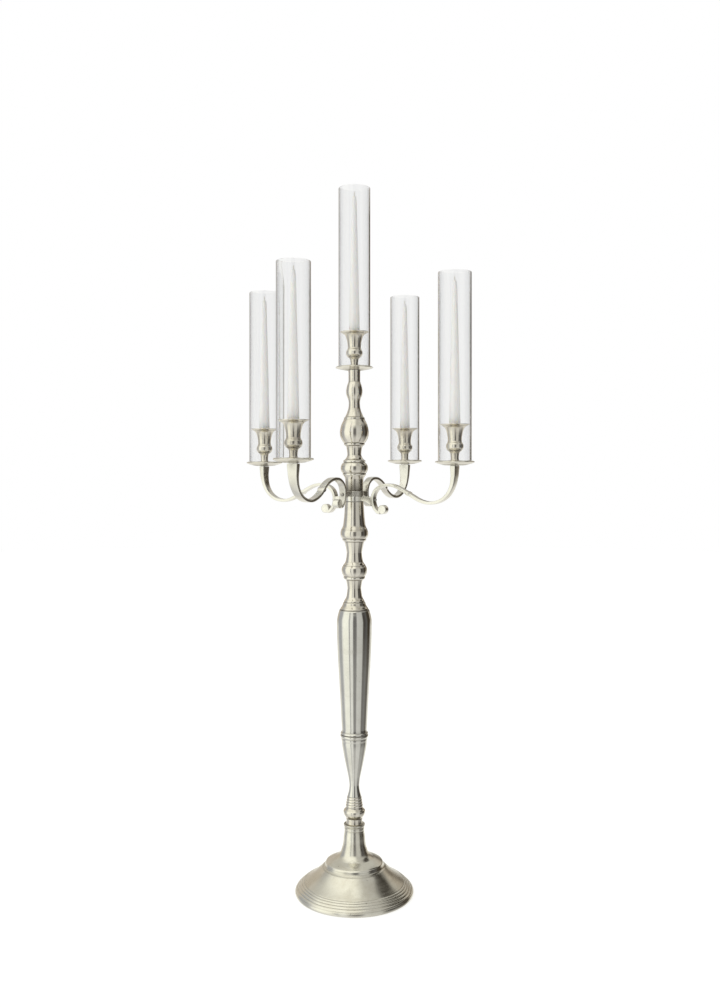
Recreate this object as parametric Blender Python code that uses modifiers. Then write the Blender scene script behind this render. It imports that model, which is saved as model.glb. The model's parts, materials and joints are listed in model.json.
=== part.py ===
"""Tabletop candelabra: turned stem on a domed foot, four scroll arms, five lights with glass chimneys."""
import math

import bmesh
import bpy
from mathutils import Matrix

MM = 0.001

# ---- driving dimensions, mm ----
ROD_R = 4.0                 # central tie rod, M8
BORE_R = 4.3                # clearance bore for the rod
GAP = 0.3                   # working gap between neighbouring pieces
PLATE_R = 37.5              # drip plate radius
ARM_REACH = 219.5           # stem axis to arm light axis
UPPER_PLATE_Z = 864.4       # rim height of the drip plates on the upper pair of arms
LOWER_PLATE_Z = 860.0       # and on the lower pair
TOP_PLATE_Z = 1049.5        # rim height of the centre drip plate
SEAT_UP = 2.2               # chimney seat above plate rim
FOOT_UP = 3.2               # cup foot pad above plate rim
CUP_H = 68.0                # candle cup height
CUP_SOCKET_R = 11.35        # candle socket radius
CUP_FLOOR = 33.0            # socket floor above cup foot
CANDLE_L = 305.0            # 12 inch taper candle
CANDLE_R = 11.0             # 7/8 inch foot of the candle
WICK_R = 0.9
WICK_OUT = 6.7              # bare wick above the wax
GLASS_R = 31.75             # 2 1/2 inch chimney, outside
GLASS_WALL = 2.0
GLASS_H = 356.0             # 14 inch chimney
STUD_R = 2.0                # M4 stud through each arm plate
STRAP_W = 14.0              # arm strap width
STRAP_T = 5.6               # arm strap thickness
BLOCK_W = 22.0              # arm end block, across
BLOCK_T = 10.5              # arm end block, along the arm
BLOCK_UNDER = 8.1           # arm block top below the plate rim
GROW_FROM, GROW_TO = 786.0, 852.0   # heights between which the strap grows into the block
VOLUTE_R = 8.9
VOLUTE_W = 13.0
VOLUTE_AT = (65.6, 766.8)   # roll centre of the lower pair: out from the stem axis, height
LOWER_RING = (782.0, 792.9, 18.2)   # bottom, top, radius of the lower hub ring
UPPER_RING = (793.2, 803.0, 19.4)
SPIGOT_R = 9.0              # stem spigot that carries both hub rings
LOWER_SCREW_Z = 785.6
UPPER_SCREW_Z = 796.4
SCREW_R = 2.0               # M4 arm screw
SCREW_HOLE_R = 2.3
SCREW_TIP = 32.0            # inner end of an arm screw, from the stem axis
LUG_END = 41.0              # outer end of a lug, from the stem axis
ARM_INNER_FACE = 47.8       # inner face of the scroll strap, where the screw head bears

STEM_SEG = 20
CUP_SEG = 16
PLATE_SEG = 20
GLASS_SEG = 24
FOOT_SEG = 28
CANDLE_SEG = 12

for old in list(bpy.data.objects):
    bpy.data.objects.remove(old, do_unlink=True)

parts = bpy.data.collections.new("tabletop_candelabra")
bpy.context.scene.collection.children.link(parts)


# ---- materials ----
def material(name, colour, metallic, rough, alpha=1.0, transmission=0.0):
    mat = bpy.data.materials.new(name)
    mat.use_nodes = True
    bsdf = mat.node_tree.nodes["Principled BSDF"]
    bsdf.inputs["Base Color"].default_value = (colour[0], colour[1], colour[2], 1.0)
    bsdf.inputs["Metallic"].default_value = metallic
    bsdf.inputs["Roughness"].default_value = rough
    bsdf.inputs["Alpha"].default_value = alpha
    bsdf.inputs["Transmission Weight"].default_value = transmission
    return mat


def nickel(name):
    return material("nickel_" + name, (0.74, 0.71, 0.64), 1.0, 0.28)


def steel(name):
    return material("steel_" + name, (0.55, 0.55, 0.56), 1.0, 0.4)


# ---- outline helpers: an outline is a list of (radius, height, bulge) in mm ----
def outline(steps, fine=1.7):
    """Points of a profile. A bulge above 0 swells outwards on the way down, below 0 hollows."""
    pts = [(steps[0][0], steps[0][1])]
    for r, z, bulge in steps[1:]:
        r0, z0 = pts[-1]
        div = 2 if abs(bulge) > fine else 1
        if abs(bulge) > 0.38:
            dx, dz = r - r0, z - z0
            length = math.hypot(dx, dz)
            nx, nz = -dz / length, dx / length
            for i in range(1, div + 1):
                t = i / (div + 1.0)
                lift = bulge * math.sin(math.pi * t)
                pts.append((r0 + dx * t + nx * lift, z0 + dz * t + nz * lift))
        pts.append((r, z))
    return pts


def place(ob, parent=None, loc=(0.0, 0.0, 0.0), turn=0.0):
    parts.objects.link(ob)
    ob.location = (loc[0] * MM, loc[1] * MM, loc[2] * MM)
    ob.rotation_euler = (0.0, 0.0, turn)
    if parent is not None:
        ob.parent = parent
    return ob


def shade(mesh, angle=35.0):
    mesh.shade_smooth()
    mesh.set_sharp_from_angle(angle=math.radians(angle))


def turned_mesh(name, pts, closed):
    mesh = bpy.data.meshes.new(name)
    verts = [(r * MM, 0.0, z * MM) for r, z in pts]
    edges = [(i, i + 1) for i in range(len(pts) - 1)]
    if closed:
        edges.append((len(pts) - 1, 0))
    mesh.from_pydata(verts, edges, [])
    return mesh


def add_screw(ob, seg):
    mod = ob.modifiers.new("turn", "SCREW")
    mod.axis = "Z"
    mod.angle = math.radians(360.0)
    mod.steps = seg
    mod.render_steps = seg
    mod.use_merge_vertices = True
    mod.merge_threshold = 0.00001
    mod.use_smooth_shade = True


def turned(name, pts, closed, seg, mat, parent=None, loc=(0.0, 0.0, 0.0), mesh=None):
    """A turned piece: closed ring outline, or an open one that begins and ends on the axis."""
    if mesh is None:
        mesh = turned_mesh(name, pts, closed)
        mesh.materials.append(mat)
    ob = bpy.data.objects.new(name, mesh)
    add_screw(ob, seg)
    return place(ob, parent, loc)


def solid(name, mesh, mat, parent=None, loc=(0.0, 0.0, 0.0), turn=0.0):
    if mat is not None:
        mesh.materials.clear()
        mesh.materials.append(mat)
    ob = bpy.data.objects.new(name, mesh)
    return place(ob, parent, loc, turn)


def axis_empty(name, loc):
    ob = bpy.data.objects.new(name, None)
    ob.empty_display_size = 0.02
    return place(ob, None, loc)


def bored(outer_top_to_bottom, bore=BORE_R):
    """Close an outer outline with a straight through bore."""
    top = outer_top_to_bottom[0][1]
    bottom = outer_top_to_bottom[-1][1]
    return outer_top_to_bottom + [(bore, bottom), (bore, top)]


def joined(name, first, others):
    """One closed mesh from a Boolean chain; the helper objects are dropped afterwards."""
    base = bpy.data.objects.new(name + "_base", first)
    bpy.context.scene.collection.objects.link(base)
    helpers = []
    for i, (mesh, kind) in enumerate(others):
        helper = bpy.data.objects.new(name + "_tool%d" % i, mesh)
        bpy.context.scene.collection.objects.link(helper)
        helpers.append(helper)
        mod = base.modifiers.new("cut%d" % i, "BOOLEAN")
        mod.operation = kind
        mod.solver = "EXACT"
        mod.object = helper
    bpy.context.view_layer.update()
    graph = bpy.context.evaluated_depsgraph_get()
    mesh = bpy.data.meshes.new_from_object(base.evaluated_get(graph))
    mesh.name = name
    for helper in helpers + [base]:
        bpy.data.objects.remove(helper, do_unlink=True)
    shade(mesh)
    return mesh


def revolve(pts, seg, closed, name="lathe"):
    """A turned mesh made directly, for pieces that are joined or cut."""
    bm = bmesh.new()
    rings = []
    for r, z in pts:
        if r < 1e-6:
            rings.append([bm.verts.new((0.0, 0.0, z * MM))])
            continue
        ring = []
        for i in range(seg):
            a = 2.0 * math.pi * i / seg
            ring.append(bm.verts.new((r * MM * math.cos(a), r * MM * math.sin(a), z * MM)))
        rings.append(ring)
    count = len(rings) if closed else len(rings) - 1
    for k in range(count):
        a, b = rings[k], rings[(k + 1) % len(rings)]
        for i in range(seg):
            j = (i + 1) % seg
            if len(a) == 1:
                bm.faces.new((a[0], b[i], b[j]))
            elif len(b) == 1:
                bm.faces.new((a[i], b[0], a[j]))
            else:
                bm.faces.new((a[i], b[i], b[j], a[j]))
    bmesh.ops.recalc_face_normals(bm, faces=bm.faces)
    mesh = bpy.data.meshes.new(name)
    bm.to_mesh(mesh)
    bm.free()
    return mesh


def rod_mesh(r, z0, z1, seg, chamfer=0.0):
    if chamfer > 0.0:
        pts = [(0.0, z1), (r - chamfer, z1), (r, z1 - chamfer), (r, z0 + chamfer), (r - chamfer, z0), (0.0, z0)]
    else:
        pts = [(0.0, z1), (r, z1), (r, z0), (0.0, z0)]
    return revolve(pts, seg, False)


def moved(mesh, matrix):
    mesh.transform(matrix)
    return mesh


# ---- foot: spun shell, ballast, pad and the nut that pulls the stack together ----
NECK_TOP = 139.4
RIDGE_IN, RIDGE_UP = 99.5, 24.1     # where the ridged rim begins
RIDGE_COUNT = 4
foot_outer = outline([
    (16.6, NECK_TOP - 3.2, 0.0),
    (20.2, NECK_TOP - 2.4, 0.0),
    (20.9, NECK_TOP - 1.2, 0.3),
    (20.6, 134.2, 0.5),
    (19.6, 133.0, 0.0),
    (19.9, 127.4, 0.0),
    (19.3, 126.2, 0.0),
    (19.9, 121.0, 0.0),
    (21.6, 106.0, 0.3),
    (25.2, 88.4, -0.7),
    (38.0, 71.7, -2.6),
    (54.6, 64.3, 0.3),
    (57.2, 61.4, 0.4),
    (57.6, 59.3, 0.0),
    (62.3, 53.6, -0.9),
    (63.4, 52.8, 0.0),
    (RIDGE_IN, RIDGE_UP, -1.5),
])
for ridge in range(1, RIDGE_COUNT + 1):
    share = ridge / float(RIDGE_COUNT)
    r0, z0 = foot_outer[-1]
    r1 = RIDGE_IN + 17.0 * share
    z1 = RIDGE_UP - 13.9 * share ** 1.22
    foot_outer.append((r0 * 0.4 + r1 * 0.6 + 0.45, z0 * 0.4 + z1 * 0.6 + 0.45))
    foot_outer.append((r1, z1))
foot_outer += [(117.8, 7.8), (118.0, 4.6), (117.2, 1.4), (116.2, 0.8)]
foot_inner = outline([
    (113.6, 0.8, 0.0),
    (113.6, 6.2, 0.0),
    (97.0, 20.8, 0.0),
    (79.0, 33.2, 0.8),
    (62.0, 47.6, 0.0),
    (36.0, 66.6, 0.0),
    (22.0, 82.0, 1.2),
    (17.0, 104.0, 0.0),
    (17.0, 112.0, 0.0),
    (BORE_R, 112.0, 0.0),
    (BORE_R, 133.0, 0.0),
    (16.6, 133.0, 0.0),
])
turned("base_foot", foot_outer + foot_inner[:-1] + [(BORE_R, NECK_TOP - 3.2)], True, FOOT_SEG,
       nickel("foot"))

weight = outline([
    (BORE_R, 50.0, 0.0),
    (16.0, 50.0, 0.0),
    (52.0, 43.0, 0.0),
    (92.0, 17.0, 0.0),
    (103.0, 9.0, 0.0),
    (103.0, 5.0, 0.0),
    (20.0, 5.0, 0.0),
    (20.0, 16.0, 0.0),
    (BORE_R, 16.0, 0.0),
])
turned("base_weight", weight, True, FOOT_SEG,
       material("iron_ballast", (0.10, 0.10, 0.105), 0.7, 0.75))

turned("felt_pad", [(0.0, 3.0), (112.6, 3.0), (113.2, 2.4), (113.2, 0.4), (112.8, 0.0), (0.0, 0.0)],
       False, FOOT_SEG, material("felt_green", (0.035, 0.075, 0.045), 0.0, 0.95))

turned("base_washer", [(BORE_R, 15.7), (12.0, 15.7), (12.0, 13.7), (BORE_R, 13.7)], True, 24,
       steel("washer"))


def hex_nut(name, flat, z0, z1):
    blank = bmesh.new()
    bmesh.ops.create_cone(blank, cap_ends=True, segments=6, radius1=flat / math.sqrt(3.0) * MM,
                          radius2=flat / math.sqrt(3.0) * MM, depth=(z1 - z0) * MM)
    mesh = bpy.data.meshes.new(name)
    blank.to_mesh(mesh)
    blank.free()
    moved(mesh, Matrix.Translation((0.0, 0.0, (z0 + z1) * 0.5 * MM)))
    hole = rod_mesh(BORE_R, z0 - 2.0, z1 + 2.0, 20)
    return joined(name, mesh, [(hole, "DIFFERENCE")])


solid("base_nut", hex_nut("base_nut", 13.0, 6.9, 13.4), steel("nut"))

ROD_TOP = TOP_PLATE_Z + FOOT_UP + 13.0
turned("tie_rod", [(0.0, ROD_TOP), (3.2, ROD_TOP), (ROD_R, ROD_TOP - 0.8), (ROD_R, 5.3), (3.2, 4.5),
                   (0.0, 4.5)], False, 16, steel("rod"))

# ---- stem, bottom to top ----
collar = outline([
    (15.3, 149.8, 0.0),
    (16.1, 149.0, 0.0),
    (16.2, 140.0, -0.3),
    (16.2, NECK_TOP - 2.9, 0.0),
])
turned("foot_collar", bored(collar), True, STEM_SEG, nickel("collar"))

knop = [(13.6, 192.7)]
RIBS = 4
for rib in range(RIBS):
    z0 = 192.7 - 5.0 * rib
    r0 = 13.4 + 0.75 * rib
    knop += [(r0 + 0.8, z0 - 1.2), (r0 + 0.9, z0 - 3.7), (r0 + 0.4, z0 - 4.8)]
knop += outline([
    (16.8, 171.6, 0.0),
    (21.2, 165.6, -0.5),
    (21.8, 162.0, 0.4),
    (17.2, 152.4, 0.9),
    (15.8, 150.1, 0.0),
])
turned("ribbed_knop", bored(knop), True, STEM_SEG, nickel("ribbed_knop"))

trumpet = outline([
    (27.4, 316.9, 0.0),
    (27.5, 312.6, 0.4),
    (25.9, 309.6, 0.0),
    (26.0, 306.6, 0.0),
    (25.0, 303.0, 0.0),
    (23.4, 289.0, 0.3),
    (12.1, 233.0, 0.3),
    (9.8, 215.0, -0.3),
    (13.8, 193.6, -0.8),
    (13.6, 193.0, 0.0),
])
turned("trumpet_stem", bored(trumpet), True, STEM_SEG, nickel("trumpet"))

baluster = outline([
    (29.4, 565.7, 0.0),
    (31.2, 561.0, 0.3),
    (34.9, 533.0, 1.4),
    (32.1, 455.0, 0.4),
    (24.9, 327.0, -0.2),
    (25.2, 322.6, 0.0),
    (27.0, 320.8, 0.0),
    (27.7, 317.6, 0.0),
    (27.0, 317.2, 0.0),
])
turned("tapered_baluster", bored(baluster), True, STEM_SEG, nickel("baluster"))

flare = outline([
    (16.8, 625.2, 0.0),
    (13.6, 608.0, -0.4),
    (15.6, 593.0, -0.2),
    (20.2, 584.0, -0.7),
    (20.9, 580.8, 0.0),
    (22.4, 579.6, 0.0),
    (27.6, 568.8, -0.9),
    (28.6, 566.0, 0.0),
])
turned("neck_flare", bored(flare), True, STEM_SEG, nickel("neck_flare"))

waisted = outline([
    (19.6, 701.4, 0.0),
    (15.2, 679.0, -0.4),
    (17.9, 661.0, -0.6),
    (21.9, 655.6, -0.3),
    (22.6, 653.6, 0.0),
    (25.5, 644.5, 0.9),
    (22.2, 633.4, 0.9),
    (20.7, 632.2, 0.0),
    (21.6, 629.6, 0.4),
    (20.6, 627.0, 0.3),
    (17.6, 625.5, 0.0),
])
turned("waisted_stem", bored(waisted), True, STEM_SEG, nickel("waisted_stem"))

column = [(SPIGOT_R, UPPER_RING[1] - 0.2)] + outline([
    (SPIGOT_R, LOWER_RING[0] - 0.3, 0.0),
    (18.0, LOWER_RING[0] - 0.3, 0.0),
    (18.4, 779.8, 0.0),
    (20.3, 751.0, 0.0),
    (22.0, 736.6, 0.0),
    (25.6, 727.0, -0.6),
    (26.2, 725.2, 0.0),
    (27.6, 717.6, 0.5),
    (26.0, 710.2, 0.6),
    (23.2, 707.2, 0.0),
    (23.5, 704.8, 0.4),
    (22.4, 702.6, 0.0),
    (20.2, 701.7, 0.0),
])
turned("upper_column", bored(column), True, STEM_SEG, nickel("column"))

knop_stem = outline([
    (17.3, 892.7, 0.0),
    (15.3, 888.6, -0.2),
    (13.8, 875.0, -0.3),
    (19.6, 865.0, -1.0),
    (21.3, 864.2, 0.0),
    (22.3, 861.6, 0.3),
    (21.4, 859.4, 0.0),
    (23.6, 858.2, 0.0),
    (27.3, 848.6, 0.9),
    (24.6, 839.4, 0.7),
    (22.6, 838.3, 0.0),
    (23.3, 835.0, 0.4),
    (18.2, 826.0, -0.8),
    (17.3, UPPER_RING[1] + 0.3, 0.0),
])
turned("knop_stem", bored(knop_stem), True, STEM_SEG, nickel("knop_stem"))

pear = outline([
    (12.4, 1043.7, 0.0),
    (11.7, 1039.0, -0.1),
    (11.6, 1022.0, 0.0),
    (12.3, 1019.6, 0.0),
    (16.3, 1001.8, 0.8),
    (12.6, 987.0, 0.9),
    (11.1, 979.5, -0.2),
    (12.0, 967.5, -0.3),
    (18.5, 950.6, -0.5),
    (20.6, 949.2, 0.0),
    (20.9, 945.6, 0.0),
    (29.0, 921.0, 1.5),
    (22.4, 900.0, 1.8),
    (20.4, 898.4, 0.0),
    (20.6, 894.8, 0.2),
    (18.0, 893.0, 0.0),
])
turned("pear_stem", bored(pear), True, STEM_SEG, nickel("pear_stem"))


# ---- lights ----
def plate_outline(hole, collar_r):
    low = -7.0 if collar_r > 0.0 else -5.4
    pts = outline([
        (hole, FOOT_UP, 0.0),
        (9.5, FOOT_UP, 0.0),
        (25.0, SEAT_UP, 0.0),
        (33.6, SEAT_UP, 0.0),
        (36.9, 0.6, 0.35),
        (PLATE_R, -0.2, 0.1),
        (PLATE_R - 0.5, -0.9, 0.1),
        (29.0, low * 0.55, 0.4),
        (15.0, low + 0.1, 0.0),
    ], 9.0)
    if collar_r > 0.0:
        return pts + [(collar_r, low), (collar_r, -7.8), (hole, -7.8)]
    return pts + [(12.6, -5.5), (hole, -5.5)]


def cup_outline(hole):
    return outline([
        (0.0, CUP_FLOOR, 0.0),
        (CUP_SOCKET_R, CUP_FLOOR, 0.0),
        (CUP_SOCKET_R, 49.5, 0.0),
        (13.2, 55.0, -0.3),
        (27.2, 68.0, 2.0),
        (28.4, 67.8, 0.0),
        (28.3, 66.9, 0.0),
        (14.9, 52.0, -3.2),
        (13.1, 38.0, -0.4),
        (14.2, 33.8, -0.2),
        (16.5, 27.0, 0.6),
        (14.5, 21.3, 0.5),
        (10.2, 17.8, 0.3),
        (8.2, 14.0, -0.2),
        (7.5, 6.5, 0.0),
        (8.4, 0.0, -0.2),
        (hole, 0.0, 0.0),
        (hole, 14.5, 0.0),
        (0.0, 14.5, 0.0),
    ], 1.5)


def candle_outline():
    return [
        (WICK_R + 0.2, CANDLE_L), (2.4, CANDLE_L - 0.9), (3.9, CANDLE_L - 5.0), (4.7, CANDLE_L - 13.0),
        (CANDLE_R, 24.0), (CANDLE_R, 0.0), (WICK_R + 0.2, 0.0),
    ]


def glass_outline():
    inner = GLASS_R - GLASS_WALL
    return [
        (inner + 0.5, GLASS_H), (GLASS_R - 0.5, GLASS_H), (GLASS_R, GLASS_H - 0.6), (GLASS_R, 0.0),
        (inner, 0.0), (inner, GLASS_H - 0.6),
    ]


wax = material("wax_white", (0.93, 0.92, 0.88), 0.0, 0.45)
cotton = material("wick_cotton", (0.88, 0.86, 0.80), 0.0, 0.9)
clear = material("glass_clear", (0.96, 0.97, 0.97), 0.0, 0.03, 0.35, 0.9)
SHARED = {}


def shared(key, pts, closed, mat):
    if key not in SHARED:
        mesh = turned_mesh(key, pts, closed)
        mesh.materials.append(mat)
        SHARED[key] = mesh
    return SHARED[key]


def light(tag, x, y, rim_z, parent, centre):
    hole = BORE_R if centre else STUD_R + 0.3
    kind = "centre" if centre else "arm"
    plate = shared(kind + "_plate", plate_outline(hole, 0.0 if centre else 8.6), True, nickel(kind + "_plate"))
    cup = shared(kind + "_cup", cup_outline(hole), False, nickel(kind + "_cup"))
    glass = shared("chimney", glass_outline(), True, clear)
    candle = shared("candle", candle_outline(), True, wax)
    base = 0.0 if parent is None else parent.location.z / MM
    up = rim_z - base
    turned(tag + "_drip_plate", None, True, PLATE_SEG, None, parent, (x, y, up), plate)
    turned(tag + "_candle_cup", None, False, CUP_SEG, None, parent, (x, y, up + FOOT_UP + 0.2), cup)
    turned(tag + "_chimney", None, True, GLASS_SEG, None, parent, (x, y, up + SEAT_UP + 0.2), glass)
    stand = up + FOOT_UP + 0.2 + CUP_FLOOR + 0.2
    turned(tag + "_candle", None, True, CANDLE_SEG, None, parent, (x, y, stand), candle)
    wick_top = CANDLE_L + WICK_OUT
    wick_pts = [(0.0, wick_top), (WICK_R * 0.7, wick_top - 0.3), (WICK_R, wick_top - 1.2), (WICK_R, 0.6),
                (0.0, 0.6)]
    turned(tag + "_wick", None, False, 8, None, parent, (x, y, stand), shared("wick", wick_pts, False, cotton))
    if not centre:
        low = rim_z - BLOCK_UNDER - 16.0 - base
        high = rim_z + FOOT_UP + 13.0 - base
        span = high - low
        stud = [(0.0, span), (STUD_R - 0.6, span), (STUD_R, span - 0.6), (STUD_R, 0.6),
                (STUD_R - 0.6, 0.0), (0.0, 0.0)]
        turned(tag + "_cup_stud", stud, False, 14, steel(tag + "_stud"), parent, (x, y, low))


light("centre", 0.0, 0.0, TOP_PLATE_Z, None, True)


# ---- scroll arms ----
def catmull(points, per):
    out = []
    n = len(points)
    for i in range(n - 1):
        p0 = points[max(i - 1, 0)]
        p1 = points[i]
        p2 = points[i + 1]
        p3 = points[min(i + 2, n - 1)]
        for k in range(per):
            t = k / float(per)
            out.append(tuple(
                0.5 * ((2.0 * b) + (c - a) * t + (2.0 * a - 5.0 * b + 4.0 * c - d) * t * t
                       + (3.0 * b - a - 3.0 * c + d) * t ** 3)
                for a, b, c, d in zip(p0, p1, p2, p3)))
    out.append(tuple(points[-1]))
    return out


def arm_path(lift, dip_lift, top):
    """Centreline of the strap in its own upright plane: (out from the axis, height)."""
    scroll = [(60.4, 760.4), (54.6, 762.4), (47.8, 770.4), (44.3, 781.0), (44.9, 794.0), (51.6, 806.0),
              (65.6, 813.8), (82.0, 815.0), (97.0, 811.6)]
    sweep = [(113.5, 803.6), (131.0, 793.4), (149.0, 784.4), (168.0, 780.8), (188.0, 784.4),
             (204.6, 795.5), (214.8, 812.5)]
    path = [(r, z + lift) for r, z in scroll]
    path.append((sweep[0][0], sweep[0][1] + lift * 0.93 + dip_lift * 0.07))
    for r, z in sweep[1:5]:
        path.append((r, z + dip_lift))
    path.append((sweep[5][0], sweep[5][1] + dip_lift * 0.8))
    path.append((sweep[6][0], sweep[6][1] + dip_lift * 0.5))
    path += [(ARM_REACH - 0.6, 831.0), (ARM_REACH, 845.0), (ARM_REACH, top)]
    return path


KNUCKLE_OUT = 122.0


def strap_size(r, z):
    """Width and thickness of the strap: it grows into the block at the outer end."""
    width = STRAP_W
    thick = STRAP_T
    if r > 150.0:
        rise = min(max((z - GROW_FROM) / (GROW_TO - GROW_FROM), 0.0), 1.0) ** 1.6
        width = STRAP_W + 1.0 + (BLOCK_W - STRAP_W - 1.0) * rise
        thick = STRAP_T + (BLOCK_T - STRAP_T) * rise
    if abs(r - KNUCKLE_OUT) < 2.6:
        width += 1.6
        thick += 1.6
    return width, thick


def arm_mesh(name, lift, dip_lift, screw_z, top):
    path = [p for p in catmull(arm_path(lift, dip_lift, top), 2) if abs(p[0] - KNUCKLE_OUT) > 6.0]
    near = [i for i in range(1, len(path)) if path[i - 1][0] < KNUCKLE_OUT <= path[i][0]][0]
    low, high = path[near - 1], path[near]
    slope = (high[1] - low[1]) / (high[0] - low[0])
    height = low[1] + slope * (KNUCKLE_OUT - low[0])
    stations = path[:near] + [(KNUCKLE_OUT + d, height + slope * d) for d in (-4.0, -2.2, 2.2, 4.0)] + path[near:]
    bm = bmesh.new()
    rings = []
    for i, (r, z) in enumerate(stations):
        before = stations[max(i - 1, 0)]
        after = stations[min(i + 1, len(stations) - 1)]
        dx, dz = after[0] - before[0], after[1] - before[1]
        length = math.hypot(dx, dz)
        nx, nz = -dz / length, dx / length
        w, t = strap_size(r, z)
        hw, ht = w * 0.5, t * 0.5
        c = min(0.9, ht * 0.45)
        ring = []
        for u, v in ((-hw + c, ht), (hw - c, ht), (hw, ht - c), (hw, -ht + c), (hw - c, -ht),
                     (-hw + c, -ht), (-hw, -ht + c), (-hw, ht - c)):
            ring.append(bm.verts.new(((r + nx * v) * MM, u * MM, (z + nz * v) * MM)))
        rings.append(ring)
    for a, b in zip(rings, rings[1:]):
        for k in range(8):
            m = (k + 1) % 8
            bm.faces.new((a[k], a[m], b[m], b[k]))
    bm.faces.new(rings[0])
    bm.faces.new(list(reversed(rings[-1])))
    bmesh.ops.recalc_face_normals(bm, faces=bm.faces)
    strap = bpy.data.meshes.new(name + "_strap")
    bm.to_mesh(strap)
    bm.free()
    half = VOLUTE_W * 0.5
    roll = revolve([(0.0, half), (VOLUTE_R - 1.4, half), (VOLUTE_R, half - 1.4), (VOLUTE_R, 1.4 - half),
                    (VOLUTE_R - 1.4, -half), (0.0, -half)], 18, False)
    out, up = VOLUTE_AT
    moved(roll, Matrix.Translation((out * MM, 0.0, (up + lift) * MM)) @ Matrix.Rotation(math.pi / 2, 4, "X"))
    stud_hole = moved(rod_mesh(STUD_R + 0.3, top - 16.6, top + 3.0, 16),
                      Matrix.Translation((ARM_REACH * MM, 0.0, 0.0)))
    turn = Matrix.Rotation(math.pi / 2, 4, "Y")
    screw_hole = moved(rod_mesh(SCREW_HOLE_R, LUG_END - 4.0, ARM_INNER_FACE + 5.0, 14),
                       Matrix.Translation((0.0, 0.0, screw_z * MM)) @ turn)
    return joined(name, strap, [(roll, "UNION"), (stud_hole, "DIFFERENCE"), (screw_hole, "DIFFERENCE")])


def bracket_mesh(ring, foot_drop):
    """One lug: flat on top, its underside flaring down to the back of the arm."""
    bottom, top, radius = ring
    start = radius - 3.5
    bm = bmesh.new()
    stations = [(start, bottom + 0.7, top - 0.7, 5.0), (radius + 5.0, bottom + 0.4, top - 0.7, 5.0),
                (radius + 12.5, bottom - foot_drop * 0.22, top - 0.8, 5.4),
                (radius + 18.5, bottom - foot_drop * 0.62, top - 0.9, 6.0),
                (LUG_END, bottom - foot_drop, top - 1.2, 6.5)]
    rings = []
    for x, z0, z1, half in stations:
        c = 1.0
        ring_v = []
        for y, z in ((-half + c, z1), (half - c, z1), (half, z1 - c), (half, z0 + c), (half - c, z0),
                     (-half + c, z0), (-half, z0 + c), (-half, z1 - c)):
            ring_v.append(bm.verts.new((x * MM, y * MM, z * MM)))
        rings.append(ring_v)
    for a, b in zip(rings, rings[1:]):
        for k in range(8):
            m = (k + 1) % 8
            bm.faces.new((a[k], a[m], b[m], b[k]))
    bm.faces.new(rings[0])
    bm.faces.new(list(reversed(rings[-1])))
    bmesh.ops.recalc_face_normals(bm, faces=bm.faces)
    mesh = bpy.data.meshes.new("lug")
    bm.to_mesh(mesh)
    bm.free()
    return mesh


def hub_mesh(name, ring, foot_drop, screw_z):
    bottom, top, radius = ring
    inner = SPIGOT_R + GAP
    body = revolve([(inner, top), (radius - 0.9, top), (radius, top - 0.9), (radius, bottom + 0.9),
                    (radius - 0.9, bottom), (inner, bottom)], 24, True)
    tools = []
    for side in (0.0, math.pi):
        swing = Matrix.Rotation(side, 4, "Z")
        tools.append((moved(bracket_mesh(ring, foot_drop), swing), "UNION"))
    turn = Matrix.Rotation(math.pi / 2, 4, "Y")
    for side in (0.0, math.pi):
        swing = Matrix.Rotation(side, 4, "Z")
        hole = moved(rod_mesh(SCREW_HOLE_R, SCREW_TIP - 1.0, LUG_END + 6.0, 14),
                     swing @ Matrix.Translation((0.0, 0.0, screw_z * MM)) @ turn)
        tools.append((hole, "DIFFERENCE"))
    return joined(name, body, tools)


def screw_mesh(inner_face):
    """Round-headed screw lying along +X, head outermost."""
    head = inner_face + 0.2
    pts = [(0.0, head + 2.4), (2.2, head + 1.9), (3.4, head), (SCREW_R, head), (SCREW_R, SCREW_TIP),
           (0.0, SCREW_TIP)]
    mesh = revolve(pts, 12, False)
    moved(mesh, Matrix.Rotation(math.pi / 2, 4, "Y"))
    shade(mesh)
    return mesh


def arm_pair(label, ring, lift, dip_lift, foot_drop, screw_z, plate_z, heading, tags):
    pivot_z = (ring[0] + ring[1]) * 0.5
    pivot = axis_empty(label + "_pair_axis", (0.0, 0.0, pivot_z))
    drop = Matrix.Translation((0.0, 0.0, -pivot_z * MM))
    hub = moved(hub_mesh(label + "_hub_ring", ring, foot_drop, screw_z), drop)
    solid(label + "_hub_ring", hub, nickel(label + "_hub"), pivot, turn=heading)
    arm = moved(arm_mesh(label + "_arm", lift, dip_lift, screw_z, plate_z - BLOCK_UNDER), drop)
    arm.materials.clear()
    arm.materials.append(nickel(label + "_arm"))
    screw = moved(screw_mesh(ARM_INNER_FACE), Matrix.Translation((0.0, 0.0, (screw_z - pivot_z) * MM)))
    screw.materials.append(steel(label + "_arm_screw"))
    for k, tag in enumerate(tags):
        angle = heading + math.pi * k
        solid(tag + "_arm", arm, None, pivot, turn=angle)
        solid(tag + "_arm_screw", screw, None, pivot, turn=angle)
        x = ARM_REACH * math.cos(angle)
        y = ARM_REACH * math.sin(angle)
        light(tag, x, y, plate_z, pivot, False)


arm_pair("upper", UPPER_RING, 12.4, 6.6, 5.5, UPPER_SCREW_Z, UPPER_PLATE_Z, -math.pi / 2.0, ("front", "back"))
arm_pair("lower", LOWER_RING, 0.0, 0.6, 7.6, LOWER_SCREW_Z, LOWER_PLATE_Z, 0.0, ("right", "left"))

bpy.context.view_layer.update()
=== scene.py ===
"""Looks of the tabletop candelabra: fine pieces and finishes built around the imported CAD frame."""
import json
import math

import bmesh
import bpy
import numpy as np
from mathutils import Matrix, Vector


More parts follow.
